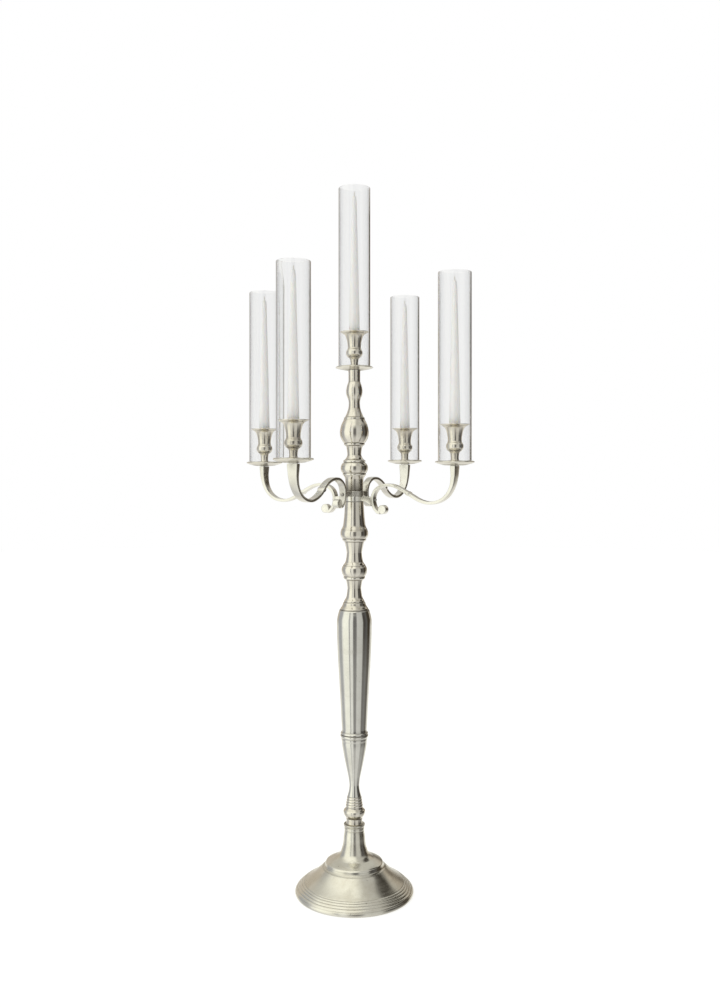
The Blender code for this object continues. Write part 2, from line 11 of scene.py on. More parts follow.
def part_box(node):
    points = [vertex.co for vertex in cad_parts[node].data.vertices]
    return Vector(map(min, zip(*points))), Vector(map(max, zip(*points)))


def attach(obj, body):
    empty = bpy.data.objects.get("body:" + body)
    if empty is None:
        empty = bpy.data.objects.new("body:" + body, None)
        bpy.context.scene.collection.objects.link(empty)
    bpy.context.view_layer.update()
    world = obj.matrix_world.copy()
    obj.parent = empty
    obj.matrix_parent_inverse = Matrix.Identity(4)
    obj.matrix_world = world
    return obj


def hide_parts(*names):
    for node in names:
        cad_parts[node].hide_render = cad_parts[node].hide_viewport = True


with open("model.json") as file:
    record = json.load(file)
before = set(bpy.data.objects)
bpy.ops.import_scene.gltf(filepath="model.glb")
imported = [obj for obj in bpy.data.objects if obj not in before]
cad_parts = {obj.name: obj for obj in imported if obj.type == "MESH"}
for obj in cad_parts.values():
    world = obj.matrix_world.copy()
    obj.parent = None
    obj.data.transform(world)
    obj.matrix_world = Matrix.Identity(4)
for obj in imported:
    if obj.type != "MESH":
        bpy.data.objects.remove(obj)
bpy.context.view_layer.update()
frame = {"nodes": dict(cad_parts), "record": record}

MM = 0.001

LIGHTS = ("centre", "front", "back", "right", "left")

# ---- sizes that the CAD boxes do not give, mm ----
BORE_R = 4.3
STUD_HOLE_R = 2.3
SPIGOT_R = 9.0              # the spigot that the hub rings turn on
SPIGOT_HOLE_R = 9.3
PLATE_PAD = 3.2             # height of the drip plate's pad above its rim
CUP_SOCKET_R = 11.35        # the cup's bore for the taper, and its floor
CUP_SOCKET_Z = 33.0
CUP_STUD_TOP = 14.5         # how far the bore from below reaches into the cup
GLASS_WALL = 2.0
CANDLE_TALL = 305.0
STRAP_W = 14.0
STRAP_T = 5.6
BLOCK_W = 22.0
BLOCK_T = 10.5
GROW_FROM, GROW_TO = 786.0, 852.0   # heights between which the strap grows into the block
VOLUTE_R = 8.9
VOLUTE_W = 13.0
VOLUTE_OUT = 65.6           # roll centre from the stem axis
VOLUTE_Z = 766.8            # roll centre height on the lower pair
UPPER_LIFT = 12.4           # the upper pair's scrolls stand this much higher
UPPER_DIP = 6.6             # and their dips this much
LOWER_DIP = 0.6
KNUCKLE_OUT = 122.0
UPPER_DROP = 5.5            # how far the lugs reach down below their ring
LOWER_DROP = 7.6
LOWER_SCREW_Z = 785.6
UPPER_SCREW_Z = 796.4
ARM_INNER_FACE = 47.8       # the scroll's inner face, where the screw head bears
SCREW_R = 2.0
SCREW_HOLE_R = 2.3
SCREW_TIP = 32.0            # distance of the screw's tip from the stem axis
ARM_HOLE = (37.0, 53.0)     # the screw hole's cutter through the arm, from the stem axis
LUG_HOLE = (31.0, 47.0)     # and through the hub ring's lug
TURNED_EDGE = math.radians(50.0)    # edges sharper than this stay crisp on turned pieces
JOINED_EDGE = math.radians(38.0)    # and on arms, hub rings and screws

# ---- camera and studio ----
CAMERA_TURN = math.radians(30.2)    # round the stem from the front, towards the right
CAMERA_FAR = 2.0
CAMERA_UP = 0.8446
LENS = 35.714
SENSOR = 36.0
SHIFT_X, SHIFT_Y = 0.0056, -0.0337
TOWARD = Vector((math.sin(CAMERA_TURN), -math.cos(CAMERA_TURN), 0.0))
ACROSS = Vector((math.cos(CAMERA_TURN), math.sin(CAMERA_TURN), 0.0))


# ======== node helpers ========
def node(tree, kind, inputs=None, **settings):
    made = tree.nodes.new(kind)
    for key, value in settings.items():
        setattr(made, key, value)
    for key, value in (inputs or {}).items():
        if isinstance(value, bpy.types.NodeSocket):
            tree.links.new(value, made.inputs[key])
        else:
            made.inputs[key].default_value = value
    return made


def calc(tree, how, a, b=0.0, c=0.0, clamp=False):
    return node(tree, "ShaderNodeMath", {0: a, 1: b, 2: c}, operation=how, use_clamp=clamp).outputs[0]


def fit(tree, value, low, high, to_low, to_high):
    """Value from low..high to to_low..to_high, held at both ends."""
    made = node(tree, "ShaderNodeMapRange", {0: value, 1: low, 2: high, 3: to_low, 4: to_high})
    return made.outputs[0]


def blend(tree, share, a, b):
    return node(tree, "ShaderNodeMix", {0: share, 6: a, 7: b}, data_type="RGBA").outputs[2]


def vector(tree, how, a, b):
    return node(tree, "ShaderNodeVectorMath", {0: a, 1: b}, operation=how)


def clouds(tree, place, scale, detail=3.0, rough=0.5, warp=0.0):
    made = node(tree, "ShaderNodeTexNoise", {"Vector": place, "Scale": scale, "Detail": detail,
                                             "Roughness": rough, "Distortion": warp})
    return made.outputs["Fac"]


def mark(tree, name):
    return node(tree, "ShaderNodeAttribute", attribute_name=name, attribute_type="GEOMETRY").outputs["Fac"]


def rgb(r, g, b):
    return (r, g, b, 1.0)


def fresh(name):
    mat = bpy.data.materials.new(name)
    mat.use_nodes = True
    tree = mat.node_tree
    return mat, tree, tree.nodes["Principled BSDF"]


def own_place(tree):
    """The piece's own coordinates, moved by its seed so that copies differ."""
    place = node(tree, "ShaderNodeTexCoord").outputs["Object"]
    seed = mark(tree, "seed")
    shift = node(tree, "ShaderNodeCombineXYZ", {0: seed, 1: calc(tree, "MULTIPLY", seed, 0.7), 2: seed})
    return place, vector(tree, "ADD", place, shift.outputs[0]).outputs[0]


# ======== finishes ========
def nickel(name, rough, bright=(0.80, 0.785, 0.725), tarnish=(0.63, 0.60, 0.525), wave=0.10,
           turning=1.0, stain=0.5):
    """Satin nickel plate: turning marks, a slight wave, tarnish clouds, dark marks (oxide in grooves and
    joints, painted shade inside the arms' scrolls), and edges lightened by wear and a painted highlight.
    """
    mat, tree, bsdf = fresh(name)
    place, spot = own_place(tree)
    xyz = node(tree, "ShaderNodeSeparateXYZ", {0: place}).outputs
    grime, worn = mark(tree, "grime"), mark(tree, "worn")
    broad = clouds(tree, spot, 24.0, 3.0, 0.55, 0.4)
    small = clouds(tree, spot, 170.0, 4.0, 0.6)
    along = mark(tree, "along")
    lathe = node(tree, "ShaderNodeCombineXYZ", {
        0: calc(tree, "MULTIPLY", xyz[0], 22.0), 1: calc(tree, "MULTIPLY", xyz[1], 22.0),
        2: calc(tree, "MULTIPLY", along, 900.0)}).outputs[0]
    fine = clouds(tree, lathe, 1.0, 3.0, 0.6)
    brushed = node(tree, "ShaderNodeCombineXYZ", {
        0: calc(tree, "MULTIPLY", xyz[0], 9.0), 1: calc(tree, "MULTIPLY", xyz[1], 9.0),
        2: calc(tree, "MULTIPLY", along, 150.0)}).outputs[0]
    band = clouds(tree, brushed, 1.0, 2.0, 0.5)
    pits = node(tree, "ShaderNodeTexVoronoi", {"Vector": spot, "Scale": 120.0, "Randomness": 1.0})
    pit_size = fit(tree, clouds(tree, spot, 60.0, 1.0), 0.52, 0.72, 0.0, 0.13)
    pit = calc(tree, "LESS_THAN", pits.outputs["Distance"], pit_size)

    cover = calc(tree, "MULTIPLY", fit(tree, broad, 0.42, 0.66, 0.0, 1.0), stain)
    specks = calc(tree, "MULTIPLY", fit(tree, small, 0.45, 0.75, 0.0, 1.0), 0.22)
    cover = calc(tree, "ADD", cover, specks, clamp=True)
    colour = blend(tree, cover, rgb(*bright), rgb(*tarnish))
    # darkening towards dark brown: oxide in grooves and joints, and painted shade inside the arms' scrolls
    dark = calc(tree, "MULTIPLY", grime, fit(tree, small, 0.3, 0.7, 0.75, 1.1))
    dark = calc(tree, "MAXIMUM", dark, calc(tree, "MULTIPLY", pit, 0.55), clamp=True)
    colour = blend(tree, dark, colour, rgb(0.085, 0.068, 0.048))
    # edges lightened towards pale cream: wear, and a painted highlight on edges
    colour = blend(tree, calc(tree, "MULTIPLY", worn, 0.7, clamp=True), colour, rgb(0.90, 0.885, 0.83))
    tree.links.new(colour, bsdf.inputs["Base Color"])

    gloss = calc(tree, "ADD", rough, fit(tree, broad, 0.35, 0.7, -0.03, 0.07))
    gloss = calc(tree, "ADD", gloss, fit(tree, band, 0.3, 0.7, -0.03, 0.05))
    gloss = calc(tree, "ADD", gloss, calc(tree, "MULTIPLY", dark, 0.35))
    tree.links.new(gloss, bsdf.inputs["Roughness"])
    bsdf.inputs["Metallic"].default_value = 1.0

    height = calc(tree, "MULTIPLY", clouds(tree, spot, 38.0, 2.0, 0.5), wave)
    height = calc(tree, "ADD", height, calc(tree, "MULTIPLY", fine, 0.0045 * turning))
    height = calc(tree, "ADD", height, calc(tree, "MULTIPLY", band, 0.012 * turning))
    height = calc(tree, "ADD", height, calc(tree, "MULTIPLY", small, 0.004))
    height = calc(tree, "SUBTRACT", height, calc(tree, "MULTIPLY", pit, 0.05))
    bump = node(tree, "ShaderNodeBump", {"Height": height, "Strength": 1.0, "Distance": MM})
    tree.links.new(bump.outputs[0], bsdf.inputs["Normal"])
    return mat


def plain_metal(name, colour, rough, metallic=1.0, grain=0.02, scale=400.0, rust=None):
    """Hidden fastenings and ballast: a grainy metal with patchy colour."""
    mat, tree, bsdf = fresh(name)
    place = node(tree, "ShaderNodeTexCoord").outputs["Object"]
    patch = clouds(tree, place, 70.0, 3.0)
    speck = clouds(tree, place, scale, 3.0)
    other = rust or tuple(c * 0.7 for c in colour)
    tint = blend(tree, fit(tree, patch, 0.4, 0.65, 0.0, 0.8), rgb(*colour), rgb(*other))
    tree.links.new(tint, bsdf.inputs["Base Color"])
    tree.links.new(fit(tree, speck, 0.3, 0.7, rough - 0.06, rough + 0.08), bsdf.inputs["Roughness"])
    bsdf.inputs["Metallic"].default_value = metallic
    bump = node(tree, "ShaderNodeBump", {"Height": calc(tree, "MULTIPLY", speck, grain), "Distance": MM})
    tree.links.new(bump.outputs[0], bsdf.inputs["Normal"])
    return mat


def felt(name):
    mat, tree, bsdf = fresh(name)
    place = node(tree, "ShaderNodeTexCoord").outputs["Object"]
    fuzz = clouds(tree, place, 900.0, 5.0, 0.7, 1.2)
    patch = clouds(tree, place, 45.0, 3.0)
    tint = blend(tree, fit(tree, fuzz, 0.3, 0.7, 0.0, 1.0), rgb(0.018, 0.042, 0.026), rgb(0.05, 0.10, 0.065))
    tint = blend(tree, fit(tree, patch, 0.4, 0.7, 0.0, 0.35), tint, rgb(0.06, 0.085, 0.06))
    tree.links.new(tint, bsdf.inputs["Base Color"])
    bsdf.inputs["Roughness"].default_value = 0.95
    bsdf.inputs["Sheen Weight"].default_value = 0.4
    bump = node(tree, "ShaderNodeBump", {"Height": calc(tree, "MULTIPLY", fuzz, 0.3), "Distance": MM})
    tree.links.new(bump.outputs[0], bsdf.inputs["Normal"])
    return mat


def clear_glass(name):
    """Clear drawn glass with a few dust specks; diffuse light passes straight through its thin wall."""
    mat, tree, bsdf = fresh(name)
    spot = own_place(tree)[1]
    dust = clouds(tree, spot, 520.0, 2.0)
    tree.links.new(fit(tree, dust, 0.70, 0.85, 0.0, 0.03), bsdf.inputs["Roughness"])
    # the glass is painted darker where it is seen edge-on: painted shade of its edges
    edge = node(tree, "ShaderNodeLayerWeight", {"Blend": 0.5}).outputs["Facing"]
    rim = fit(tree, edge, 0.50, 0.95, 0.0, 1.0)
    tint = blend(tree, rim, rgb(0.972, 0.974, 0.978), rgb(0.76, 0.765, 0.78))
    tree.links.new(tint, bsdf.inputs["Base Color"])
    bsdf.inputs["Transmission Weight"].default_value = 1.0
    bsdf.inputs["Specular IOR Level"].default_value = 0.08
    bsdf.inputs["IOR"].default_value = 1.46
    path = node(tree, "ShaderNodeLightPath").outputs
    soft = calc(tree, "MAXIMUM", path["Is Shadow Ray"], path["Is Diffuse Ray"])
    soft = calc(tree, "MAXIMUM", soft, path["Is Reflection Ray"])
    bare = node(tree, "ShaderNodeBsdfTransparent", {0: rgb(0.99, 0.99, 0.99)})
    mix = node(tree, "ShaderNodeMixShader", {0: soft, 1: bsdf.outputs[0], 2: bare.outputs[0]})
    tree.links.new(mix.outputs[0], tree.nodes["Material Output"].inputs[0])
    return mat


def wax(name):
    """Dipped white wax: soft, faintly mottled, with dipping waves down the taper."""
    mat, tree, bsdf = fresh(name)
    spot = own_place(tree)[1]
    mottled = clouds(tree, spot, 90.0, 3.0)
    dipped = clouds(tree, vector(tree, "MULTIPLY", spot, (60.0, 60.0, 14.0)).outputs[0], 1.0, 2.0)
    share = fit(tree, mottled, 0.35, 0.7, 0.0, 1.0)
    tint = blend(tree, share, rgb(0.95, 0.945, 0.97), rgb(0.91, 0.905, 0.92))
    tree.links.new(tint, bsdf.inputs["Base Color"])
    tree.links.new(fit(tree, mottled, 0.3, 0.7, 0.38, 0.52), bsdf.inputs["Roughness"])
    bsdf.inputs["Subsurface Weight"].default_value = 0.35
    bsdf.inputs["Subsurface Radius"].default_value = (1.0, 0.8, 0.6)
    bsdf.inputs["Subsurface Scale"].default_value = 0.004
    bump = node(tree, "ShaderNodeBump", {"Height": calc(tree, "MULTIPLY", dipped, 0.10), "Distance": MM})
    tree.links.new(bump.outputs[0], bsdf.inputs["Normal"])
    return mat


def cotton(name):
    mat, tree, bsdf = fresh(name)
    spot = own_place(tree)[1]
    fibre = clouds(tree, vector(tree, "MULTIPLY", spot, (2600.0, 2600.0, 700.0)).outputs[0], 1.0, 3.0)
    tint = blend(tree, fit(tree, fibre, 0.3, 0.7, 0.0, 1.0), rgb(0.86, 0.84, 0.78), rgb(0.62, 0.59, 0.52))
    tree.links.new(tint, bsdf.inputs["Base Color"])
    bsdf.inputs["Roughness"].default_value = 0.92
    bump = node(tree, "ShaderNodeBump", {"Height": calc(tree, "MULTIPLY", fibre, 0.12), "Distance": MM})
    tree.links.new(bump.outputs[0], bsdf.inputs["Normal"])
    return mat


FOOT = nickel("nickel_foot", 0.19, bright=(0.80, 0.785, 0.715), tarnish=(0.64, 0.60, 0.51),
              wave=0.14, stain=0.45)
STEM = nickel("nickel_stem", 0.085, bright=(0.80, 0.768, 0.70), tarnish=(0.60, 0.56, 0.48),
              wave=0.07, turning=0.4, stain=0.35)
ARM = nickel("nickel_arm", 0.18, bright=(0.79, 0.78, 0.74), wave=0.07, turning=0.0, stain=0.35)
BALUSTER = nickel("nickel_baluster", 0.085, bright=(0.76, 0.755, 0.72), tarnish=(0.60, 0.585, 0.54),
                  wave=0.07, turning=0.4, stain=0.35)
CUP = nickel("nickel_cup", 0.085, bright=(0.80, 0.76, 0.675), tarnish=(0.54, 0.485, 0.395),
             wave=0.04, turning=0.4, stain=0.5)
PLATE = nickel("nickel_plate", 0.10, bright=(0.81, 0.785, 0.715), wave=0.05, stain=0.4)
GLASS = clear_glass("glass_clear")
WAX = wax("wax_white")
WICK = cotton("wick_cotton")
SCREW = plain_metal("steel_screw", (0.62, 0.60, 0.56), 0.28, grain=0.01)
STEEL = plain_metal("steel_fastening", (0.55, 0.55, 0.56), 0.34)
IRON = plain_metal("iron_ballast", (0.09, 0.085, 0.08), 0.7, 0.6, 0.25, 260.0, (0.16, 0.075, 0.035))
FELT = felt("felt_green")


# ======== shapes ========
def fine_outline(steps, soft=0.7, step=1.1):
    """Smooth (radius, height) points in mm from (radius, height, bulge) steps, each corner rounded off."""
    runs = []
    for (r0, z0, _), (r1, z1, bulge) in zip(steps, steps[1:]):
        runs.append((np.array((r0, z0)), np.array((r1, z1)), bulge))

    def at(run, t):
        a, b, bulge = run
        d = b - a
        size = math.hypot(d[0], d[1])
        out = np.array((-d[1], d[0])) / size
        return a + d * t + out * bulge * math.sin(math.pi * t)

    pts = [at(runs[0], 0.0)]
    for i, run in enumerate(runs):
        size = float(np.linalg.norm(run[1] - run[0]))
        cut = min(soft / size, 0.32)
        first = cut if i else 0.0
        last = 1.0 - cut if i < len(runs) - 1 else 1.0
        bend = abs(run[2]) > 1e-6
        count = max(2, min(24, int(size / step))) if bend else 1
        for k in range(count + 1):
            t = first + (last - first) * k / count
            if i or k:
                pts.append(at(run, t))
        if i < len(runs) - 1:
            after = runs[i + 1]
            size2 = float(np.linalg.norm(after[1] - after[0]))
            p0, p1 = pts[-1], run[1]
            p2 = at(after, min(soft / size2, 0.32))
            for t in (0.25, 0.5, 0.75):
                pts.append(p0 * (1 - t) ** 2 + p1 * 2 * t * (1 - t) + p2 * t * t)
    return [tuple(p) for p in pts]


def relief(pts, closed):
    """How deep each outline point lies in a groove (above 0) or stands out on an edge (below 0), mm."""
    p = np.array(pts)
    seg = np.linalg.norm(np.diff(p, axis=0), axis=1)
    s = np.concatenate(([0.0], np.cumsum(seg)))
    ahead = np.roll(p, -1, axis=0)
    behind = np.roll(p, 1, axis=0)
    ahead[-1], behind[0] = p[-1], p[0]
    d = ahead - behind
    d /= np.maximum(np.linalg.norm(d, axis=1), 1e-9)[:, None]
    out = np.stack((-d[:, 1], d[:, 0]), axis=1)
    total = np.zeros_like(p)
    reach = (-1.6, -0.8, 0.8, 1.6)
    for w in reach:
        total += np.stack((np.interp(s + w, s, p[:, 0]), np.interp(s + w, s, p[:, 1])), axis=1)
    return ((total / len(reach) - p) * out).sum(axis=1), s


def set_marks(mesh, **values):
    for name, data in values.items():
        layer = mesh.attributes.new(name, "FLOAT", "POINT")
        layer.data.foreach_set("value", np.asarray(data, np.float32))


def lathe_mesh(name, pts, closed, seg=96, stains=(), seed=0.0):
    """A turned mesh from outline points; stains are (height, reach, strength) of dark oxide, mm."""
    groove, s = relief(pts, closed)
    zs = np.array([z for _, z in pts])
    grime = np.clip((groove - 0.05) / 0.35, 0.0, 1.0) * 0.6
    for z, reach, strength in stains:
        grime = np.maximum(grime, strength * np.exp(-((zs - z) / reach) ** 2))
    # convex edges are marked for wear and a painted edge highlight
    worn = np.clip(-groove / 0.25, 0.0, 1.0) * 0.6 * (1.0 - np.clip(grime, 0.0, 1.0))
    verts, faces, owner = [], [], []
    rings = []
    for k, (r, z) in enumerate(pts):
        if r < 1e-6:
            rings.append([len(verts)])
            verts.append((0.0, 0.0, z * MM))
            owner.append(k)
            continue
        ring = []
        for i in range(seg):
            a = 2.0 * math.pi * i / seg
            ring.append(len(verts))
            verts.append((r * MM * math.cos(a), r * MM * math.sin(a), z * MM))
            owner.append(k)
        rings.append(ring)
    for k in range(len(rings) if closed else len(rings) - 1):
        a, b = rings[k], rings[(k + 1) % len(rings)]
        for i in range(seg):
            j = (i + 1) % seg
            if len(a) == 1:
                faces.append((a[0], b[i], b[j]))
            elif len(b) == 1:
                faces.append((a[i], b[0], a[j]))
            else:
                faces.append((a[i], b[i], b[j], a[j]))
    mesh = bpy.data.meshes.new(name)
    mesh.from_pydata(verts, [], faces)
    owner = np.array(owner)
    set_marks(mesh, grime=grime[owner], worn=worn[owner], along=s[owner] * MM,
              seed=np.full(len(verts), seed))
    mesh.shade_smooth()
    mesh.set_sharp_from_angle(angle=TURNED_EDGE)
    return mesh


def show(name, mesh, mat, node_name, place=(0.0, 0.0, 0.0), turn=0.0, also=()):
    """One visible piece in place of a CAD node, riding on that node's body."""
    ob = bpy.data.objects.new(name, mesh)
    bpy.context.scene.collection.objects.link(ob)
    mesh.materials.clear()
    mesh.materials.append(mat)
    ob.location = place
    ob.rotation_euler = (0.0, 0.0, turn)
    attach(ob, body_of[node_name])
    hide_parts(node_name, *also)
    return ob


body_of = {n: b for b, members in frame["record"]["behaviour"]["bodies"].items() for n in members}


def bored(steps, bore=BORE_R):
    return steps + [(bore, steps[-1][1], 0.0), (bore, steps[0][1], 0.0)]


def stem_piece(node_name, steps, stains=(), mat=STEM, seg=96, seed=0.0, extra=None, soft=0.7):
    """A turned piece of the stem: its outline runs down the outside, and a bore closes it."""
    pts = fine_outline(steps, soft) if extra is None else extra(steps)
    pts = pts + [(BORE_R, steps[-1][1]), (BORE_R, steps[0][1])]
    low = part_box(node_name)[0].z
    shift = low - min(z for _, z in pts) * MM
    mesh = lathe_mesh("fine_" + node_name, pts, True, seg, stains, seed)
    return show("fine_" + node_name, mesh, mat, node_name, (0.0, 0.0, shift))


# ---- the foot ----
NECK_TOP = 139.4
RIDGE_IN, RIDGE_UP = 99.5, 24.1     # where the rim's slope begins
RIM_RUN, RIM_FALL = 17.2, 14.3      # how far out and down it goes
RIDGES = 4
RIDGE_HIGH = 0.75


def foot_rim():
    """The rim's slope, with fine round ridges between sharp grooves."""
    rim = []
    count = 20 * RIDGES
    for k in range(1, count + 1):
        t = k / count
        r = RIDGE_IN + RIM_RUN * t
        z = RIDGE_UP - RIM_FALL * t ** 1.22
        out, up = RIM_FALL * 1.22 * t ** 0.22, RIM_RUN
        size = math.hypot(out, up)
        swell = RIDGE_HIGH * (abs(math.sin(math.pi * RIDGES * t)) ** 0.5 - 0.7)
        rim.append((r + swell * out / size, z + swell * up / size))
    return rim


def foot_outline():
    upper = fine_outline([
        (16.6, NECK_TOP - 3.2, 0.0),
        (19.4, NECK_TOP - 2.6, 0.0),
        (20.8, NECK_TOP - 0.9, 0.3),
        (20.9, 135.2, 0.3),
        (19.7, 133.2, 0.0),
        (19.9, 127.6, 0.0),
        (19.3, 126.2, 0.0),
        (19.9, 121.0, 0.0),
        (21.6, 106.0, 0.3),
        (25.2, 88.4, -0.7),
        (38.0, 71.7, -2.6),
        (54.6, 64.3, 0.3),
        (57.2, 61.4, 0.4),
        (57.6, 59.3, 0.0),
        (62.3, 53.6, -0.9),
        (63.4, 52.8, 0.0),
        (RIDGE_IN, RIDGE_UP, -1.5),
    ], 0.7)
    rim = foot_rim()
    lower = fine_outline([
        (rim[-1][0], rim[-1][1], 0.0), (117.8, 7.4, 0.2), (118.0, 3.6, 0.2), (116.2, 0.8, 0.3),
        (113.6, 0.8, 0.0), (113.6, 6.2, 0.0), (97.0, 20.8, 0.0), (79.0, 33.2, 0.8),
        (62.0, 47.6, 0.0), (36.0, 66.6, 0.0), (22.0, 82.0, 1.2), (17.0, 104.0, 0.0), (17.0, 112.0, 0.0),
        (BORE_R, 112.0, 0.0), (BORE_R, NECK_TOP - 3.2, 0.0)], 0.5)
    return upper + rim + lower[1:]


def make_foot():
    mesh = lathe_mesh("fine_base_foot", foot_outline(), True, 192,
                      [(NECK_TOP - 3.0, 0.8, 0.5), (53.2, 0.7, 0.35), (60.0, 0.6, 0.3)], 0.0)
    show("fine_base_foot", mesh, FOOT, "base_foot")


# ---- the stem ----
KNOP_TOP = 192.7
KNOP_RIBS = 4
RIB_TALL = 5.0


def knop_outline(steps):
    """Ribs down the cone, then a flare into the round knop."""
    pts = []
    for rib in range(KNOP_RIBS):
        z0 = KNOP_TOP - RIB_TALL * rib
        r0 = 13.4 + 0.75 * rib
        for k in range(8):
            t = k / 8.0
            pts.append((r0 + 0.75 * t + 1.05 * math.sin(math.pi * t) ** 0.7, z0 - RIB_TALL * t))
    return pts + fine_outline([
        (16.6, 172.7, 0.0), (17.2, 170.8, 0.0), (20.9, 166.2, -0.4), (21.8, 162.0, 0.4), (17.2, 152.4, 0.9),
        (15.8, 150.1, 0.0)])


def make_stem():
    stem_piece("foot_collar", [
        (15.3, 149.8, 0.0), (16.1, 149.0, 0.0), (16.2, 140.0, -0.3), (16.2, NECK_TOP - 2.9, 0.0)],
        [(149.8, 0.7, 0.6), (NECK_TOP - 2.3, 1.0, 0.5)], seed=0.1)
    stem_piece("ribbed_knop", [(13.6, KNOP_TOP, 0.0), (15.8, 150.1, 0.0)],
               [(150.1, 0.7, 0.6), (KNOP_TOP, 0.5, 0.4)], extra=knop_outline, seed=0.2)
    stem_piece("trumpet_stem", [
        (26.6, 316.9, 0.0), (27.6, 315.6, 0.0), (27.6, 312.8, 0.3), (25.9, 310.0, 0.0), (25.9, 306.6, 0.0),
        (25.0, 303.0, 0.0), (23.4, 289.0, 0.3), (12.1, 233.0, 0.3), (9.8, 215.0, -0.3), (13.8, 193.6, -0.8),
        (13.6, 193.0, 0.0)], [(316.9, 0.9, 1.0), (309.8, 0.5, 0.35), (193.0, 0.7, 0.6)], mat=BALUSTER,
        seed=0.3)
    stem_piece("tapered_baluster", [
        (29.4, 565.7, 0.0), (31.2, 561.0, 0.3), (34.9, 533.0, 1.4), (32.1, 455.0, 0.4), (24.9, 327.0, -0.2),
        (25.4, 322.6, 0.0), (26.9, 321.0, 0.0), (27.5, 318.4, 0.2), (26.4, 317.2, 0.0)],
        [(317.2, 1.3, 1.0), (565.7, 0.7, 0.7)], mat=BALUSTER, seed=0.4, seg=128)
    stem_piece("neck_flare", [
        (16.8, 625.2, 0.0), (13.6, 608.0, -0.4), (15.6, 593.0, -0.2), (20.2, 584.0, -0.7), (20.9, 580.9, 0.0),
        (22.4, 579.6, 0.0), (27.6, 568.8, -0.9), (28.6, 566.0, 0.0)],
        [(566.0, 0.8, 0.8), (581.0, 0.7, 0.6), (625.2, 0.5, 0.5)], seed=0.5)
    stem_piece("waisted_stem", [
        (19.6, 701.4, 0.0), (15.2, 679.0, -0.4), (17.9, 661.0, -0.6), (21.9, 655.6, -0.3), (22.6, 653.6, 0.0),
        (25.5, 644.5, 0.9), (22.2, 633.4, 0.9), (20.7, 632.2, 0.0), (21.6, 629.6, 0.4), (20.6, 627.0, 0.3),
        (17.6, 625.5, 0.0)],
        [(632.4, 0.6, 0.8), (654.0, 0.6, 0.6), (625.5, 0.6, 0.6), (701.4, 0.5, 0.6)], seed=0.6)
    low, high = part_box("upper_column")
    top, ledge = high.z / MM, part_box("lower_hub_ring")[0].z / MM + LOWER_DROP - 0.3
    pts = fine_outline([
        (18.0, ledge, 0.0), (18.4, 779.8, 0.0), (20.3, 751.0, 0.0), (22.0, 736.6, 0.0), (25.6, 727.0, -0.6),
        (26.3, 725.0, 0.0), (27.6, 717.6, 0.5), (26.0, 710.2, 0.6), (23.2, 707.2, 0.0), (23.5, 704.8, 0.4),
        (22.4, 702.6, 0.0), (20.2, 701.7, 0.0)])
    pts = [(SPIGOT_R, top), (SPIGOT_R, ledge)] + pts + [(BORE_R, low.z / MM), (BORE_R, top)]
    mesh = lathe_mesh("fine_upper_column", pts, True, 96,
                      [(ledge, 1.0, 0.8), (726.0, 0.6, 0.35), (707.4, 0.6, 0.8), (701.7, 0.6, 0.6)], 0.7)
    show("fine_upper_column", mesh, STEM, "upper_column")
    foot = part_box("knop_stem")[0].z / MM
    stem_piece("knop_stem", [
        (17.3, 892.7, 0.0), (15.3, 888.6, -0.2), (13.8, 875.0, -0.3), (19.6, 865.0, -1.0), (21.3, 864.2, 0.0),
        (22.3, 861.6, 0.3), (21.4, 859.4, 0.0), (23.6, 858.2, 0.0), (27.3, 848.6, 0.9), (24.6, 839.4, 0.7),
        (22.6, 838.3, 0.0), (23.3, 835.0, 0.4), (18.2, 826.0, -0.8), (17.3, foot, 0.0)],
        [(859.4, 0.6, 0.7), (865.0, 0.5, 0.5), (838.4, 0.6, 0.8), (foot, 0.9, 0.9)], seed=0.8)
    stem_piece("pear_stem", [
        (12.4, 1043.7, 0.0), (11.7, 1039.0, -0.1), (11.6, 1022.0, 0.0), (12.3, 1019.6, 0.0),
        (16.3, 1001.8, 0.8), (12.6, 987.0, 0.9), (11.1, 979.5, -0.2), (12.0, 967.5, -0.3),
        (18.5, 950.6, -0.5), (20.6, 949.2, 0.0), (20.9, 945.6, 0.0), (29.0, 921.0, 1.5),
        (22.4, 900.0, 1.8), (20.4, 898.4, 0.0), (20.6, 894.8, 0.2), (18.0, 893.0, 0.0)],
        [(898.4, 0.6, 0.8), (893.0, 0.7, 0.8), (949.4, 0.5, 0.5), (1021.0, 0.6, 0.5)], seed=0.9)


# ---- the five lights ----
def plate_pts(hole, collar):
    """Drip plate: pad, shallow pan, thin brim and underside; the arms' plates have a short collar."""
    low = -7.0 if collar else -5.4
    steps = [(hole, PLATE_PAD, 0.0), (9.5, PLATE_PAD, 0.0), (12.0, 2.6, 0.0), (25.0, 2.2, 0.0),
             (33.4, 2.2, 0.0), (36.9, 0.7, 0.35), (37.5, -0.2, 0.1), (37.0, -0.9, 0.1),
             (29.0, low * 0.55, 0.4), (15.0, low + 0.1, 0.4)]
    if collar:
        steps += [(8.6, low, 0.0), (8.6, -7.8, 0.0), (hole, -7.8, 0.0)]
    else:
        steps += [(12.6, -5.5, 0.0), (hole, -5.5, 0.0)]
    return fine_outline(steps, 0.5)


